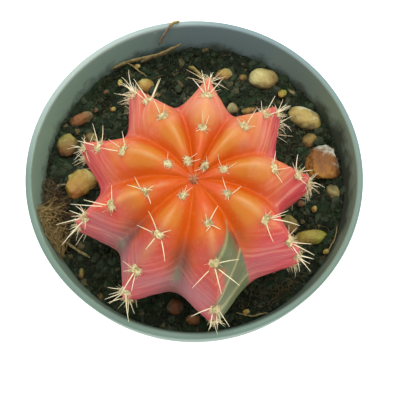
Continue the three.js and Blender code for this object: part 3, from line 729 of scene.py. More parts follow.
def layOutSpines():
    random = np.random.default_rng(9)
    for key, spot in areoles.items():
        wanted = []
        if key in spinesSeen:
            wanted += [(planSpine(spot, heading, length, random.uniform(0.25, 0.5)), 0.0)
                       for heading, length in spinesSeen[key]]
        if key in tufts:
            first, last, count, length = tufts[key]
            for k in range(count):
                heading = mix(first, last, (k + 0.5) / count) + random.uniform(-9, 9)
                wanted.append((planSpine(spot, heading, length * random.uniform(0.55, 1.12),
                                         random.uniform(0.1, 0.9)), random.uniform(0.0, 0.9)))
        if not wanted:
            grown = float(ease(spot["fall"], 3, 45))
            count = 3 if spot["fall"] < 15 else 5 if spot["fall"] < 100 else 4
            for k in range(count):
                fan = (k + 0.5) / count * 2 * math.pi + random.uniform(-0.35, 0.35)
                aim = (spot["down"] * math.cos(fan) + spot["around"] * math.sin(fan)
                       + spot["out"] * random.uniform(0.5, 0.95)).normalized()
                length = mix(spineSizes["young"], spineSizes["full"], grown) * random.uniform(0.75, 1.05)
                wanted.append((aim * length * (0.7 if spot["fall"] > 100 else 1) * mm, 0.0))
        for aim, curl in wanted:
            turn = anyWay(random).normalized()
            sag = (turn * random.uniform(0.06, 0.18) + spot["down"] * 0.08) * aim.length
            if curl > 0.3:
                sag = sag + (turn * 0.45 + spot["down"] * 0.3 - spot["out"] * 0.4) * aim.length * curl
            start = (spot["place"] + aim.normalized() * 0.25 * mm - spot["out"] * 0.35 * mm
                     + anyWay(random, 0.22) * mm)
            aim = clearOfSkin(start, aim, sag, spot["out"])
            size = 1.0
            while size > 0.2 and not (clearOfPot(start + aim * size + sag * size * size)
                                      and clearOfPot(start + aim * size * 0.5 + sag * size * size * 0.25)):
                size *= 0.88
            if size > 0.2:
                thick = spineSizes["rootRadius"] * min(1.0, 0.46 + 0.07 * aim.length / mm) * random.uniform(0.85, 1.1)
                thick = thick * (0.7 if curl > 0.0 or spot["fall"] < 13 else 1.0)
                yield start, aim * size, sag * size * size, thick * mm, random.uniform(0, 1)


def strandsTree():
    # every strand starts at its point and runs along aim, bent by sag, with a wiggle that grows to its end
    tree, add, given = newTree("strands", "Steps Int, Sides Int, Tip Share Float, Wiggle Float, Wiggle Size Float")
    line = add("ResampleCurve", add("CurvePrimitiveLine", (0, 0, 0), (0, 0, mm)), {"Count": given["Steps"]})
    curves = add("RealizeInstances", add("InstanceOnPoints", given["Geometry"], {"Instance": line}))
    share = add("SplineParameter")
    squared = add("MULTIPLY", share, share)
    along, bent = (add("VectorMath SCALE", add("InputNamedAttribute FLOAT_VECTOR", label), amount)
                   for label, amount in (("aim", share), ("sag", squared)))
    moved = add("VectorMath ADD", add("VectorMath ADD", along, bent), add("VectorMath SCALE", (0, 0, -mm), share))
    curves = shake(add, add("SetPosition", curves, {"Offset": moved}), given["Wiggle Size"], 1.0,
                   add("MULTIPLY", share, given["Wiggle"]))
    radius = add("MULTIPLY", add("InputNamedAttribute FLOAT", "thick"),
                 add("MapRange", squared, 0.0, 1.0, 1.0, given["Tip Share"]))
    mesh = add("CurveToMesh", curves, add("CurvePrimitiveCircle", given["Sides"], 1.0), radius, True)
    return endTree(tree, mesh, used=("aim", "sag", "thick"))


def growStrands(name, rows, material, shape, *home):
    # shape is (steps, sides, share left at the tip, wiggle in mm, size of the wiggle in mm)
    starts, aims, sags, thick, tone = zip(*rows)
    mesh = pointMesh(name, starts, {"aim": aims, "sag": sags, "thick": thick, "tone": tone})
    finishPiece(growMesh(name, strands, mesh, {
        "Steps": shape[0], "Sides": shape[1], "Tip Share": shape[2], "Wiggle": shape[3] * mm,
        "Wiggle Size": 1 / (shape[4] * mm), "Material": material}), *home)


def spineHorn(name, dull, bright, stain):
    # Dry horny spine: slightly glossy and translucent, stained in patches 1.2 mm long.
    material, add, place = newMaterial(name, {
        "Roughness": 0.5, "IOR": 1.54, "Subsurface Weight": 0.1, "Subsurface Scale": 0.2 * mm,
        "Subsurface Radius": (1.0, 0.8, 0.5)})
    band = add("TexNoise", place, 1 / (1.2 * mm), 2.0)
    return endMaterial(material, layColours(add, dull, [
        ("tone", bright), (band, stain, 0.45, 0.75, 0.45)]))


def areoleWool(name, dull, bright, speck):
    # Felted wool: duller and brighter in tufts 0.8 mm across, with a soft sheen and no gloss, and brown specks
    # 0.5 mm apart where spines break through.
    material, add, place = newMaterial(name, {
        "Roughness": 0.95, "Sheen Weight": 0.35, "Sheen Roughness": 0.5, "Specular IOR Level": 0.2})
    felt = add("TexNoise", place, 1 / (0.8 * mm), 4.0)
    pits = add("TexNoise", place, 1 / (0.5 * mm), 1.0)
    colour = layColours(add, dull, [
        (felt, bright, 0.36, 0.60), (pits, speck, 0.60, 0.68, 0.7), ("tone", bright, 0.0, 1.0, 0.5)])
    return endMaterial(material, colour, felt, 0.6, 0.2)


def padsTree():
    tree, add, given = newTree("wool_pads", "Lump Float, Lump Size Float")
    out, down, size = (add("InputNamedAttribute FLOAT_VECTOR", label) for label in ("out", "down", "size"))
    turn = add("AxesToRotation", out, down, primary_axis="Z", secondary_axis="X")
    placed = add("InstanceOnPoints", given["Geometry"], {
        "Instance": add("MeshIcoSphere", 1.0, 4), "Rotation": turn, "Scale": size})
    mesh = shake(add, add("RealizeInstances", placed), given["Lump Size"], 3.0, given["Lump"])
    return endTree(tree, mesh, used=("out", "down", "size"))


def padSize(spot):
    young = mix(0.66, 1.0, float(ease(spot["fall"], 5, 34)))
    return young * (1 - 0.3 * float(ease(spot["fall"], 100, 120)))


def layOutHairs():
    random = np.random.default_rng(21)
    for spot in areoles.values():
        size = padSize(spot)
        for _ in range(woolSizes["hairs"]):
            fan, r = random.uniform(0, 2 * math.pi), math.sqrt(random.uniform(0, 1))
            flat = (spot["down"] * math.cos(fan) * woolSizes["length"]
                    + spot["around"] * math.sin(fan) * woolSizes["width"]) * 0.5 * size
            dome = spot["out"] * woolSizes["height"] * 0.5 * size * math.sqrt(max(0.0, 1 - r * r))
            start = spot["place"] + (flat * r * 0.92 + dome * 0.9) * mm
            aim = (flat * r + spot["out"] * random.uniform(0.3, 1.0) + anyWay(random, 0.35)).normalized()
            length = woolSizes["hairLength"] * size * random.uniform(0.5, 1.2) * mm
            sag = anyWay(random, 0.3) * length
            yield start, aim * length, sag, woolSizes["hairRadius"] * mm, random.uniform(0, 1)


def growPads(name, sizes, lumpSize, material, spots):
    # spots are (place, out, down, share of the full size)
    places, outs, downs, shares = zip(*spots)
    grown = [[sizes[side] * 0.5 * share * mm for side in ("length", "width", "height")] for share in shares]
    finishPiece(growMesh(name, padTree, pointMesh(name, places, {
        "out": outs, "down": downs, "size": grown, "tone": [0.0] * len(spots)}), {
        "Lump": 0.9 * mm, "Lump Size": 1 / (lumpSize * mm), "Material": material}), "scion_flesh", "scion")


wool = areoleWool("feltedAreoleWool", "#9a8752", "#dccd9e", "#62502e")
strands, padTree = strandsTree(), padsTree()
spineRows = list(layOutSpines())
growStrands("scion_spines", spineRows, spineHorn("dryCreamSpine", "#e6d6ae", "#efe4c8", "#c9b376"),
            (spineSizes["steps"], spineSizes["sides"], spineSizes["tipShare"], 0.0, 1.0), "scion_flesh", "scion")
growPads("areole_wool", woolSizes, 0.9, wool, [
    (s["place"] + s["out"] * 0.12 * mm, s["out"], s["down"], padSize(s)) for s in areoles.values()])
growStrands("areole_hairs", layOutHairs(), wool, (5, 3, 0.5, 0.35, 0.5), "scion_flesh", "scion")

crownSizes = {"length": 2.3, "width": 1.9, "height": 0.9, "bristles": 18, "bristle": 2.8}


def crownRows():
    # bristles of the newest areoles, crossed over the growing point
    random = np.random.default_rng(33)
    for k in range(crownSizes["bristles"]):
        fan = k * 2.4 + random.uniform(-0.4, 0.4)
        flat = toward(fan)
        aim = (flat * random.uniform(0.5, 1.2) + Vector((0, 0, random.uniform(0.5, 1.3)))) * crownSizes["bristle"] * 0.7
        sag = anyWay(random, 0.35) - flat * 0.4
        yield (crownTop - flat * random.uniform(0.1, 0.9) * mm, aim * mm, sag * mm,
               random.uniform(0.09, 0.13) * mm, random.uniform(0, 1))


crownTop = plantPlace @ (Vector((0, 0, scionSizes["crownHeight"] - scionSizes["crownDip"])) * mm)
growPads("crown_wool", crownSizes, 0.7, areoleWool("brownedCrownWool", "#7a3f22", "#a8683e", "#4e2816"), [
    (crownTop, (0.0, 0.0, 1.0), (0.0, -1.0, 0.0), 1.0)])
growStrands("crown_bristles", crownRows(), spineHorn("driedCrownBristle", "#dcae8a", "#cf946c", "#a86c4a"),
            (7, 4, 0.3, 0.3, 1.0), "scion_flesh", "scion")
print("spines:", len(spineRows), "on", len(areoles), "areoles")


# the rootstock
stockSizes = {"ribRadius": 8.5, "grooveRadius": 5.4, "buried": 16.0, "seatGap": 0.3, "columns": 120, "rows": 40}


def stemFlesh():
    # Green stem of the stock: smooth, waxy, paler in clouds 3 mm across, corky brown where it meets the soil.
    material, add, place = newMaterial("waxyGreenStem", {
        "Roughness": 0.42, "IOR": 1.42, "Subsurface Weight": 0.1, "Subsurface Scale": 0.6 * mm,
        "Subsurface Radius": (0.4, 1.0, 0.3)})
    cloud = add("TexNoise", place, 1 / (3 * mm), 5.0)
    uneven = add("MULTIPLY_ADD", cloud, 0.006, add("SeparateXYZ", place).outputs["Z"])
    colour = layColours(add, "#4f7a36", [(cloud, "#7f9c58"), (uneven, "#8a744c", 0.0665, 0.0635)])
    return endMaterial(material, colour, cloud, 0.4, 0.3)


stockTop = float(crestLine({"reach": 1.0, "trim": 0.0}, np.array(scionSizes["baseAngle"]))[1]) - stockSizes["seatGap"]
stockFoot = stockTop - stockSizes["buried"] - 9
stockLine = [(0, stockTop)]
for k in range(stockSizes["rows"]):
    share = k / (stockSizes["rows"] - 1)
    waist = 1 - 0.05 * math.exp(-((share - 0.12) / 0.07) ** 2)
    rounding = 1 - 0.1 * max(0, 1 - share / 0.04) ** 2
    stockLine.append((stockSizes["ribRadius"] * mix(1, 0.72, share ** 2) * waist * rounding,
                      mix(stockTop, stockFoot, share)))
stockLine += [(stockSizes["ribRadius"] * 0.4, stockFoot - 1.4), (0, stockFoot - 2)]
stem = turnLine("rootstock_stem", stockLine, stockSizes["columns"], 3.0,
                stockSizes["grooveRadius"] / stockSizes["ribRadius"], stemFlesh())
stem.data.transform(plantPlace)
finishPiece(stem, "rootstock_flesh", "rootstock")
print("rootstock done")


# the soil: a peat plug and its crumbs
soilSizes = {"level": 60.0, "relief": 0.55, "mound": 1.2, "gap": 0.3, "rings": 92, "columns": 250,
             "crumbs": 0.95, "crumbSize": 0.9, "topFrom": 57.0, "fibres": 2400, "fibreReach": 37.5}


def soilHeight(x, y):
    fine = np.sin(x * 0.55 + 1.3) * np.cos(y * 0.48 - 0.4) + 0.6 * np.sin(x * 1.1 - y * 0.9)
    mound = soilSizes["mound"] * np.exp(-((x - 0.1) ** 2 + (y + 9.9) ** 2) / 320)
    return soilSizes["level"] - 0.2 + soilSizes["relief"] * fine + mound


def peatSoil():
    # Moist peat potting mix: nearly black brown with a green cast of algae, dull, in crumbs of 0.7 mm.
    material, add, place = newMaterial("moistPeatSoil", {"Roughness": 0.9, "Specular IOR Level": 0.15})
    clods = add("TexNoise", place, 1 / (4.5 * mm), 5.0, 0.62)
    fine = add("TexNoise", place, 1 / (0.7 * mm), 4.0, 0.7)
    colour = layColours(add, "#080d08", [
        (fine, "#2a3022"), (clods, "#2a3c25", 0.45, 0.64, 0.8), ("tone", "#3d4634", 0.30, 0.75, 0.85),
        ("tone", "#6e5c3a", 0.94, 1.0, 0.8)])
    return endMaterial(material, colour, fine, 0.9, 0.35)


def peatMesh():
    columns, rings = soilSizes["columns"], soilSizes["rings"]
    wall = innerRadius(soilSizes["level"]) - 0.05
    turn = np.arange(columns) / columns * 2 * math.pi
    points = [(0, 0, soilHeight(0, 0))]
    for k in range(1, rings + 1):
        x, y = wall * k / rings * np.cos(turn), wall * k / rings * np.sin(turn)
        points += list(zip(x, y, soilHeight(x, y)))
    seat = floorTop + soilSizes["gap"]
    for r, z in ((innerRadius(seat + 2.2) - soilSizes["gap"], seat + 2.2),
                 (innerRadius(seat) - 1.9 - soilSizes["gap"], seat)):
        points += [(r * math.cos(t), r * math.sin(t), z) for t in turn]
    rows = rings + 2
    faces = [(0, 1 + c, 1 + (c + 1) % columns) for c in range(columns)]
    for k in range(rows - 1):
        a = 1 + k * columns
        faces += [(a + c, a + columns + c, a + columns + (c + 1) % columns, a + (c + 1) % columns)
                  for c in range(columns)]
    faces.append([rows * columns - c for c in range(columns)])
    return pointMesh("peat_plug", [(x * mm, y * mm, z * mm) for x, y, z in points], faces=faces)


def peatTree():
    # raises clods over the plug's top face by two sizes of noise
    tree, add, given = newTree("peat_top", "Clod Float, Clod Size Float, Crumb Float, Crumb Size Float, Top Float")
    position = add("InputPosition")
    top = add("GREATER_THAN", add("SeparateXYZ", position).outputs["Z"], given["Top"])
    lifts = [add("MULTIPLY", add("SUBTRACT", add("TexNoise", position, given[label + " Size"], detail), 0.47),
                 given[label]) for label, detail in (("Crumb", 2.0), ("Clod", 3.0))]
    up = add("CombineXYZ", 0.0, 0.0, add("MULTIPLY", add("ADD", *lifts), top))
    return endTree(tree, add("SetPosition", given["Geometry"], {"Offset": up}))


def crumbsTree():
    tree, add, given = newTree("peat_crumbs", "Density Float, Size Float, Top Float, Seed Int")
    high = add("GREATER_THAN", add("SeparateXYZ", add("InputPosition")).outputs["Z"], given["Top"])
    bare = add("SeparateGeometry", given["Geometry"], high, domain="FACE")
    scatter = add("DistributePointsOnFaces", bare, {"Density": given["Density"], "Seed": given["Seed"]})
    raw, tone, shape, turn = (
        add("RandomValue FLOAT" + vector, low, high, {"Seed": seed + 3}) for seed, (vector, low, high) in enumerate((
            ("", 0.0, 1.0), ("", 0.0, 1.0), ("_VECTOR", (0.7, 0.45, 0.35), (1.3, 0.95, 0.75)),
            ("_VECTOR", (-0.5, -0.5, 0.0), (0.5, 0.5, 6.28)))))
    size = add("MapRange", add("POWER", raw, 2.6), 0.0, 1.0, 0.42, 1.7)
    placed = add("InstanceOnPoints", add("StoreNamedAttribute", scatter, None, "tone", tone), {
        "Instance": add("MeshIcoSphere", given["Size"], 1), "Rotation": turn,
        "Scale": add("VectorMath SCALE", shape, size)})
    return endTree(tree, shake(add, add("RealizeInstances", placed), 1 / (0.9 * mm), 2.0, 1.9 * mm), rounded=False)


peat = peatSoil()
plug = growMesh("peat_surface", peatTree(), peatMesh(), {
    "Clod": 3.8 * mm, "Clod Size": 1 / (3.4 * mm), "Crumb": 1.7 * mm, "Crumb Size": 1 / (1.2 * mm),
    "Top": soilSizes["topFrom"] * mm, "Material": peat})
storeValues(plug.data, {"tone": np.zeros(len(plug.data.vertices))})
finishPiece(plug, "soil", "soil")
crumbs = growMesh("peat_crumbs", crumbsTree(), plug.data.copy(), {
    "Density": soilSizes["crumbs"] / mm ** 2, "Size": soilSizes["crumbSize"] * mm,
    "Top": soilSizes["topFrom"] * mm, "Seed": 7, "Material": peat})
finishPiece(crumbs, "soil", "soil")
print("soil:", len(plug.data.polygons), "faces and", len(crumbs.data.polygons), "of crumbs")


# pebbles

def stoneMaterial(name, low, body, high, stain, start, roughness):
    # Painted light: a lit colour at the end that faces the light and on top, a shaded colour at the other end and the
    # stone's own between, with patchy borders; a fine dark grain, and painted shade at its foot.
    material, add, place = newMaterial(name, {"Roughness": roughness, "Specular IOR Level": 0.35})
    blotch = add("TexNoise", place, 1 / (2.6 * mm), 5.0, 0.6, None, 0.6)
    grain = add("TexNoise", place, 1 / (0.7 * mm), 4.0, 0.7)
    lean = add("Attribute", attribute_name="lean").outputs["Fac"]
    # the lit end and the shaded end are painted light and shade, laid out by lean
    along = add("MULTIPLY_ADD", add("SUBTRACT", blotch, 0.5), 2.6, lean)
    # painted shade low on the stone, at its foot
    foot = add("MULTIPLY_ADD", blotch, 0.003, add("SeparateXYZ", place).outputs["Z"])
    colour = layColours(add, body, [
        (along, high, start, start + 0.5), (along, low, -0.1, -0.7), (grain, stain, 0.54, 0.76, 0.6),
        (foot, "#26241a", 0.0638, 0.0616, 0.85)])
    return endMaterial(material, colour, grain, 0.4, 0.2)


# River gravel worn dull by water, each kind as (shaded end, body, lit end, stain, where the lit end starts, roughness)
stones = {kind: stoneMaterial(*row) for kind, row in {
    "butter": ("butterLimestoneGravel", "#8d7443", "#ad9d60", "#c0b87c", "#6f5a30", 0.15, 0.6),
    "paleRim": ("paleLimestoneGravel", "#87764a", "#ad9654", "#cccfb0", "#75633a", 0.3, 0.6),
    "golden": ("goldenGravel", "#9c642a", "#ac873f", "#b3a860", "#6b4a22", 0.25, 0.6),
    "ochre": ("ochreGravel", "#8a6032", "#a5843c", "#a89a5c", "#5d4a2a", 0.25, 0.6),
    "olivine": ("oliveTanGravel", "#7c5028", "#836d38", "#9a904c", "#54401f", 0.2, 0.65),
    "rust": ("ironStainedGravel", "#9e6c28", "#7c4f26", "#b0ad9c", "#4a2d14", 0.42, 0.7),
    "copper": ("brownSandstoneGravel", "#6a3f20", "#85532a", "#7c6842", "#40281a", 0.3, 0.65),
    "red": ("redSandstoneGravel", "#4b4028", "#6a3a1e", "#5f5438", "#2c1a10", 0.3, 0.65),
    "olive": ("oliveGravel", "#a07c34", "#978a38", "#8f8e32", "#5a5226", 0.2, 0.55),
    "chalk": ("whiteQuartzGravel", "#a98a56", "#bcb07c", "#c4c298", "#8f8668", 0.3, 0.5),
}.items()}
# the way its high end points is where the stone's painted light comes from
pebbles = {  # name: (length, width, height, turn, squareness, flat faces, lumps, way its high end points, stone)
    "tan_oval": (8.2, 5.7, 4.6, -8, 0.9, 0.15, 0.6, 150, "butter"),
    "amber": (5.0, 3.7, 3.4, 20, 0.95, 0.15, 0.6, 60, "ochre"),
    "small_amber": (2.4, 2.2, 2.0, 0, 1.0, 0.1, 0.6, 90, "golden"),
    "cream_oval": (9.5, 5.7, 4.6, -24, 0.88, 0.15, 0.6, 62, "paleRim"),
    "ochre": (4.6, 3.8, 3.2, 40, 0.9, 0.3, 0.9, 95, "ochre"),
    "rust_rock": (9.8, 10.2, 7.6, 8, 0.8, 0.5, 1.6, 52, "rust"),
    "beige": (4.7, 3.4, 3.0, -70, 0.85, 0.3, 0.7, 90, "butter"),
    "broad_tan": (9.6, 7.4, 5.4, 42, 0.85, 0.35, 1.1, 80, "golden"),
    "round_tan": (6.8, 5.8, 4.6, 80, 0.92, 0.25, 1.0, 95, "olivine"),
    "brown_curved": (7.0, 3.4, 3.0, 28, 0.9, 0.3, 1.2, 20, "copper"),
    "gold": (5.0, 4.4, 4.0, 0, 0.95, 0.2, 0.7, 100, "golden"),
    "small_gold": (3.4, 3.0, 2.6, 0, 0.95, 0.3, 0.9, 0, "olivine"),
    "white_chip": (3.8, 3.3, 2.6, 75, 0.62, 0.3, 0.6, 100, "butter"),
    "brown_chip": (4.2, 3.0, 2.8, -10, 0.85, 0.4, 0.9, 120, "golden"),
    "olive_long": (8.8, 3.9, 3.6, 6, 0.85, 0.4, 1.1, 0, "olive"),
    "olive_round": (5.6, 4.6, 3.6, -35, 0.95, 0.4, 0.9, 90, "olivine"),
    "red_round": (4.6, 4.2, 3.4, 0, 0.95, 0.2, 0.9, 180, "red"),
    "dusk_beige": (3.6, 3.0, 2.6, 0, 0.95, 0.3, 0.9, 90, "copper"),
    "orange_chip": (3.2, 1.9, 1.8, 100, 0.85, 0.5, 0.9, 90, "golden"),
    "grey_chip": (3.0, 1.7, 1.8, -38, 0.8, 0.6, 0.9, 90, "chalk"),
}


def pebbleTree():
    # a ball made squarer, ground flat by seven random planes, roughened, and scaled to the stone's own size
    tree, add, given = newTree("river_pebble", (
        "Size Vector, Turn Vector, Place Vector, Squareness Float, Flats Float, Lumps Float, Seed Int, Detail Int"))
    position = add("InputPosition")
    parts = add("SeparateXYZ", add("VectorMath ABSOLUTE", position)).outputs
    squared = add("CombineXYZ", *[add("POWER", part, given["Squareness"]) for part in parts])
    stone = add("SetPosition", add("MeshIcoSphere", 1.0, given["Detail"]), {
        "Position": add("VectorMath MULTIPLY", squared, add("VectorMath SIGN", position))})
    limit = add("MapRange", given["Flats"], 0.0, 1.0, 1.0, 0.58)
    for k in range(7):
        own = add("ADD", given["Seed"], k * 13.0)
        plane = add("VectorMath NORMALIZE", add("RandomValue FLOAT_VECTOR", (-1, -1, -1), (1, 1, 1), own, k))
        over = add("SUBTRACT", add("VectorMath DOT_PRODUCT", position, plane), limit)
        back = add("MULTIPLY", add("MAXIMUM", over, 0.0), -0.9)
        stone = add("SetPosition", stone, {"Offset": add("VectorMath SCALE", plane, back)})
    shifted = add("VectorMath ADD", position, add("CombineXYZ", given["Seed"], given["Seed"]))
    for scale, amount in ((0.9, 0.5), (3.2, 0.16), (9.0, 0.05)):
        centred = add("SUBTRACT", add("TexNoise", shifted, scale, 2.0), 0.5)
        lift = add("MULTIPLY", add("MULTIPLY", centred, given["Lumps"]), amount)
        stone = add("SetPosition", stone, {"Offset": add("VectorMath SCALE", position, lift)})
    box = add("BoundBox", stone).outputs
    span = add("VectorMath SUBTRACT", box["Max"], box["Min"])
    middle = add("VectorMath SCALE", add("VectorMath ADD", box["Max"], box["Min"]), 0.5)
    unit = add("VectorMath DIVIDE", add("VectorMath SUBTRACT", position, middle), span)
    stone = add("SetPosition", stone, {"Position": add("VectorMath MULTIPLY", unit, given["Size"])})
    return endTree(tree, add("Transform", stone, {"Translation": given["Place"], "Rotation": given["Turn"]}))


def growStone(name, size, turn, place, shape, seed, detail, way, material, *home):
    piece = growMesh(name, pebble, bpy.data.meshes.new(name), {
        "Size": Vector(size) * mm, "Turn": Vector((0, 0, math.radians(turn))), "Place": place,
        "Squareness": shape[0], "Flats": shape[1], "Lumps": shape[2], "Seed": seed, "Detail": detail,
        "Material": material})
    points = np.zeros(len(piece.data.vertices) * 3, dtype=np.float32)
    piece.data.vertices.foreach_get("co", points)
    off = (points.reshape(-1, 3) - np.array(place)) / (max(size[:2]) * 0.5 * mm)
    way = math.radians(way)
    # lean runs from the painted shaded end to the painted lit end, a little towards the top
    storeValues(piece.data, {"lean": off[:, 0] * math.cos(way) + off[:, 1] * math.sin(way) + 0.2 * off[:, 2]})
    finishPiece(piece, *home)


pebble = pebbleTree()
pebbleSlots = {s["node"]: s["material_slot"] for s in frame["record"]["subparts"]}
for seed, (name, values) in enumerate(pebbles.items()):
    node = "pebble_" + name
    low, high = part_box(node)
    growStone("stone_" + name, values[:3], values[3], (low + high) / 2, values[4:7], seed + 5,
              5 if values[0] > 4.5 else 4, values[7], stones[values[8]], pebbleSlots[node], node)

# grit too small for a node of its own: name: (x, y, z, length, width, height, turn, stone)
grit = {
    "olive_bit": (23.6, 24.9, 61.5, 2.6, 2.1, 1.9, 40, "olive"),
    "seed_husk": (-20.2, 27.9, 61.9, 2.1, 1.2, 1.1, 78, "olive"),
    "tan_speck": (-21.9, 20.4, 61.4, 1.6, 1.3, 1.2, 10, "ochre"),
    "brown_speck": (-23.9, 25.4, 61.5, 1.8, 1.2, 1.1, 30, "red"),
    "wall_speck": (-26.4, 20.0, 61.4, 1.4, 1.1, 1.0, 60, "red"),
    "far_bit": (-15.6, 33.0, 61.6, 1.7, 1.2, 1.1, 15, "ochre"),
    "near_bit": (12.9, -34.4, 61.4, 1.9, 1.4, 1.2, 15, "ochre"),
    "lump_one": (27.5, -6.2, 61.6, 2.4, 1.9, 1.7, 20, "red"),
    "lump_two": (30.9, -7.6, 61.5, 1.9, 1.5, 1.4, 70, "ochre"),
    "lump_three": (33.4, -19.0, 61.6, 1.8, 1.3, 1.2, 20, "olive"),
    "flake": (20.8, 13.6, 61.5, 1.6, 1.1, 0.9, 110, "chalk"),
    "left_bit": (-31.6, -9.2, 61.4, 2.0, 1.5, 1.3, 45, "red"),
}
for seed, (name, (*place, length, width, height, turn, kind)) in enumerate(grit.items()):
    growStone("grit_" + name, (length, width, height), turn, Vector(place) * mm, (0.85, 0.5, 0.9), seed + 60, 4, turn,
              stones[kind], "olive_stone" if kind == "olive" else "tan_stone")
print("pebbles:", len(pebbles), "and grit:", len(grit))


# bark, sticks and roots

def smoothPath(points, count):
    # an even curve through the given points, in metres
    points = np.array(points, float)
    padded = np.concatenate([[2 * points[0] - points[1]], points, [2 * points[-1] - points[-2]]])
    path = []
    for t in np.linspace(0, len(points) - 1.0001, count):
        k = int(t)
        s = t - k
        a, b, c, d = padded[k:k + 4]
        path.append(0.5 * (2 * b + (c - a) * s + (2 * a - 5 * b + 4 * c - d) * s * s
                           + (3 * b - a - 3 * c + d) * s ** 3) * mm)
    return path


def twigTree():
    # a flattened stick along its path, thinner at both ends, with a torn fibrous skin
    tree, add, given = newTree("torn_twig", (
        "Width Float, Thickness Float, Torn Float, Torn Size Float, End Share Float, Sides Int"))
    share = add("SplineParameter")
    toEnd = add("MULTIPLY", share, add("SUBTRACT", 1.0, share))
    taper = add("MapRange", toEnd, 0.0, 0.12, given["End Share"], 1.0)
    flat = add("CombineXYZ", given["Thickness"], given["Width"], 1.0)
    profile = add("Transform", add("CurvePrimitiveCircle", given["Sides"], 0.5), {"Scale": flat})
    mesh = add("CurveToMesh", add("MeshToCurve", given["Geometry"]), profile, taper, True)
    return endTree(tree, shake(add, mesh, given["Torn Size"], 3.0, given["Torn"]))


def growTwig(name, points, edges, width, thickness, torn, tornSize, endShare, sides, material, *home):
    finishPiece(growMesh(name, twig, pointMesh(name, points, edges=edges), {
        "Width": width * mm, "Thickness": thickness * mm, "Torn": torn * mm, "Torn Size": 1 / (tornSize * mm),
        "End Share": endShare, "Sides": sides, "Material": material}), "plant_litter", *home)


def barkMaterial(name, pale, dark):
    # Weathered bark and dead root: dull, fibrous, paler where the fibres show, 0.9 mm apart.
    material, add, place = newMaterial(name, {"Roughness": 0.9, "Specular IOR Level": 0.2})
    fibre = add("TexNoise", place, 1 / (0.9 * mm), 5.0, 0.7, None, 1.0)
    colour = layColours(add, dark, [(fibre, pale, 0.36, 0.66), ("tone", dark, 0.0, 1.0, 0.55)])
    return endMaterial(material, colour, fibre, 0.8, 0.25)


twig = twigTree()
bark = barkMaterial("weatheredBark", "#a09062", "#625434")
paleBark = barkMaterial("peeledYellowBark", "#ab9a58", "#6f6230")
mauveRoot = barkMaterial("mauveRoot", "#93806a", "#665646")
wetRoot = barkMaterial("wetRoot", "#5f5236", "#2c2618")
greyStraw = barkMaterial("greyStraw", "#a8a284", "#6e6a52")

twigPaths = {
    "bark_strip": ([(-22.6, 32.0, 61.8), (-19.0, 33.7, 62.2), (-13.9, 35.0, 62.6), (-10.3, 35.8, 62.8),
                    (-7.0, 37.0, 63.4), (-3.4, 38.4, 64.4)], 1.5, 0.7, bark),
    "bark_flap": ([(-14.4, 34.2, 62.0), (-11.6, 35.2, 62.9), (-8.6, 36.0, 63.2), (-6.4, 37.3, 63.6)], 1.7, 0.5, bark),
    "root_fibre": ([(-9.6, 37.9, 64.4), (-8.9, 38.5, 66.8), (-7.4, 39.4, 69.8), (-5.8, 40.6, 71.1),
                    (-4.2, 41.4, 70.7)], 0.75, 0.6, mauveRoot),
    "root_tip": ([(-6.8, 40.2, 70.9), (-5.6, 40.8, 71.2), (-4.0, 41.5, 70.8)], 1.1, 0.6, paleBark),
    "stick": ([(-33.2, -16.2, 62.6), (-30.2, -18.3, 62.0), (-26.4, -20.4, 61.2)], 0.75, 0.7, bark),
    "yellow_bark": ([(-1.6, 32.9, 61.2), (-0.2, 32.1, 62.0), (1.0, 30.8, 61.6), (1.5, 29.4, 61.0)], 1.6, 0.8, paleBark),
    "thin_stem": ([(-19.4, 34.3, 62.2), (-16.6, 32.6, 62.3), (-13.2, 30.0, 61.6)], 0.45, 0.4, bark),
    "wall_splinter": ([(36.5, -12.4, 62.0), (35.6, -15.8, 62.6), (33.6, -19.4, 62.0)], 0.4, 0.35, bark),
    "near_splinter": ([(10.4, -34.6, 61.7), (14.2, -35.4, 62.0), (18.2, -34.6, 61.8)], 0.55, 0.4, bark),
    "mat_stalk": ([(-36.0, -2.8, 62.8), (-34.6, -1.6, 63.2), (-33.2, -1.5, 63.0)], 0.5, 0.4, greyStraw),
}
for name, (points, width, thickness, material) in twigPaths.items():
    path = smoothPath(points, 60)
    growTwig("litter_" + name, path, [(k, k + 1) for k in range(len(path) - 1)], width, thickness, 0.7, 1.1, 0.45, 14,
             material, *([name] if name in frame["nodes"] else []))

matSizes = {"size": (4.2, 12.4, 4.0), "turn": 19.0, "fibres": 260}
# tufts of the mat as (x, y, z, heading, fan, strands, length)
darkTufts = [(-37.9, -0.8, 62.6, -70, 60, 40, 2.6), (-36.8, -3.2, 63.2, -30, 90, 60, 3.0),
             (-37.8, -5.6, 64.0, -40, 80, 70, 3.2), (-35.3, -5.8, 62.8, 0, 90, 50, 3.0),
             (-34.6, -9.8, 62.6, -20, 90, 60, 3.2), (-33.8, -14.8, 62.2, -40, 80, 60, 3.2)]
strawTufts = [(-39.0, -10.2, 67.4, -30, 70, 90, 3.8), (-38.3, -12.6, 67.2, -60, 60, 90, 4.2),
              (-37.0, -15.4, 66.2, -60, 60, 90, 4.2), (-35.9, -18.4, 64.6, -75, 50, 70, 4.0),
              (-37.2, -9.0, 64.6, 0, 60, 60, 4.6), (-35.2, -13.2, 63.6, -30, 90, 70, 3.6)]


def drawnIn(start, end, reach):
    # a strand's start, moved inwards where its end is past this radius
    over = math.hypot(end.x, end.y) - reach
    return start - Vector((end.x, end.y, 0)).normalized() * over if over > 0 else start


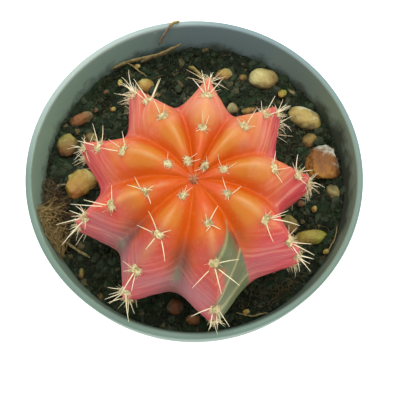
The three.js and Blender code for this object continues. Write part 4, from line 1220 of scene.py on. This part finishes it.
def tuftRows(tufts, seed):
    random = np.random.default_rng(seed)
    for x, y, z, heading, fan, strandsHere, length in tufts:
        for _ in range(strandsHere):
            start = Vector((x, y, z)) + anyWay(random, 0.7)
            turn, tilt = math.radians(random.normal(heading, fan / 2)), random.uniform(-0.3, 0.6)
            aim = (toward(turn) * math.cos(tilt) + Vector((0, 0, math.sin(tilt)))) * length * random.uniform(0.45, 1.15)
            sag = Vector((random.normal(0, 0.5), random.normal(0, 0.5), -random.uniform(0.3, 1.1)))
            for end in (start, start + aim + sag):
                start = drawnIn(start, end, innerRadius(end.z) - 0.3)
            yield start * mm, aim * mm, sag * mm, random.uniform(0.06, 0.13) * mm, random.uniform(0, 1)


def rootMatRows():
    # fibres wound over the mat's core
    random = np.random.default_rng(5)
    low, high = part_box("root_mat")
    turn = Matrix.Rotation(math.radians(matSizes["turn"]), 3, "Z")
    for _ in range(matSizes["fibres"]):
        inner = anyWay(random).normalized() * random.uniform(0.55, 0.98)
        start = (low + high) / 2 + turn @ Vector([inner[k] * matSizes["size"][k] / 2 for k in range(3)]) * mm
        outward = (turn @ Vector(inner)).normalized()
        aim = outward.cross(anyWay(random)).normalized() * random.uniform(1.2, 3.2) * mm
        sag = -outward * random.uniform(0.2, 0.9) * mm + anyWay(random, 0.8) * mm
        yield start, aim, sag, random.uniform(0.05, 0.12) * mm, random.uniform(0, 1)


growStone("root_mat_core", [s * 0.9 for s in matSizes["size"]], matSizes["turn"],
          (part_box("root_mat")[0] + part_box("root_mat")[1]) / 2, (1.0, 0.1, 2.2), 40, 5, 0,
          barkMaterial("rottedRoots", "#4a4230", "#1e1c14"), "plant_litter", "root_mat")
growStrands("root_mat_fibres", [*rootMatRows(), *tuftRows(darkTufts, 6)], barkMaterial(
    "rottingFibre", "#7d6a4c", "#3a3122"), (8, 4, 0.5, 1.2, 1.4), "plant_litter", "root_mat")
growStrands("root_mat_straw", tuftRows(strawTufts, 8), barkMaterial(
    "strawFibre", "#bda36c", "#5c4c2c"), (8, 4, 0.5, 0.9, 1.6), "plant_litter", "root_mat")

# loose roots as (x, y, spread, count, length, curl, width): fibres all over the fill, and a nest of curly ones
rootNests = [(0.0, 0.0, 24.0, 210, 5.0, 0.25, 0.24), (22.0, -27.6, 4.2, 34, 11.0, 0.62, 0.26),
             (12.6, -34.0, 3.0, 12, 5.0, 0.3, 0.2), (27.4, 9.0, 4.5, 26, 6.0, 0.4, 0.2),
             (-24.0, -27.0, 4.0, 16, 5.0, 0.35, 0.22), (-19.0, 24.0, 5.0, 22, 4.5, 0.3, 0.22)]


def looseRoots(number, x0, y0, spread, count, length, curl):
    random = np.random.default_rng(70 + number)
    points, edges = [], []
    for _ in range(count):
        x, y = random.normal(x0, spread), random.normal(y0, spread)
        heading, bend = random.uniform(0, 2 * math.pi), random.normal(0, curl)
        rise = random.uniform(0.3, 1.3)
        steps = int(length * random.uniform(0.5, 1.2) / 0.4) + 3
        last = None
        for k in range(steps):
            if math.hypot(x, y) > innerRadius(62) - 0.8:
                break
            lift = rise * math.sin(math.pi * k / steps) + 0.35
            points.append((x * mm, y * mm, (float(soilHeight(x, y)) + lift) * mm))
            if last is not None:
                edges.append((last, len(points) - 1))
            last = len(points) - 1
            bend = 0.9 * bend + random.normal(0, curl * 0.5)
            heading += bend * 0.4 + random.normal(0, 0.1)
            x, y = x + math.cos(heading) * 0.4, y + math.sin(heading) * 0.4
    return points, edges


for number, (*nest, width) in enumerate(rootNests):
    growTwig("loose_roots_%d" % number, *looseRoots(number, *nest), width, width * 0.8, 0.25, 0.9, 0.3, 4, wetRoot)

# cushions of moss as (x, y, spread, hairs)
mossCushions = [(-24.5, 26.5, 2.6, 240), (-19.5, 31.5, 2.0, 160), (-6.0, 34.0, 2.6, 240), (4.0, 35.6, 2.0, 160),
                (35.2, -10.2, 1.8, 150), (31.2, -19.6, 2.6, 240), (29.6, -13.4, 1.6, 110), (8.6, -34.6, 1.8, 120),
                (-22.6, -27.6, 2.6, 200), (-33.0, -15.2, 1.6, 100), (28.0, 22.4, 2.0, 130), (34.8, 11.2, 1.6, 110)]


def mossRows():
    random = np.random.default_rng(12)
    for x0, y0, spread, hairs in mossCushions:
        for _ in range(hairs):
            x, y = random.normal(x0, spread), random.normal(y0, spread)
            if math.hypot(x, y) > innerRadius(61) - 0.5:
                continue
            start = Vector((x, y, float(soilHeight(x, y)) + random.uniform(-0.4, 0.6))) * mm
            aim = Vector((random.normal(0, 0.5), random.normal(0, 0.5), random.uniform(0.5, 1.3))) * mm
            sag = anyWay(random, 0.3) * mm
            start = drawnIn(start, start + aim + sag, (innerRadius(60) - 0.4) * mm)
            yield start, aim, sag, random.uniform(0.07, 0.13) * mm, random.uniform(0, 1)


def fibreRows():
    # short fibres of peat lying every way over the fill
    random = np.random.default_rng(19)
    for _ in range(soilSizes["fibres"]):
        r, turn = soilSizes["fibreReach"] * math.sqrt(random.uniform(0, 1)), random.uniform(0, 2 * math.pi)
        x, y = r * math.cos(turn), r * math.sin(turn)
        aim = toward(random.uniform(0, 2 * math.pi), random.uniform(-0.1, 0.5)) * random.uniform(0.8, 2.4) * mm
        yield (Vector((x, y, float(soilHeight(x, y)) + random.uniform(0.0, 0.7))) * mm, aim,
               anyWay(random, 0.4) * mm, random.uniform(0.04, 0.09) * mm, random.uniform(0, 1))


growStrands("peat_fibres", fibreRows(), barkMaterial("peatFibre", "#6a6444", "#20251a"), (5, 3, 0.35, 0.5, 1.0), "soil")
growStrands("moss_cushions", mossRows(), barkMaterial("livingMoss", "#3c4d2b", "#1a2415"), (5, 4, 0.35, 0.4, 0.8),
            "soil")
print("litter done")
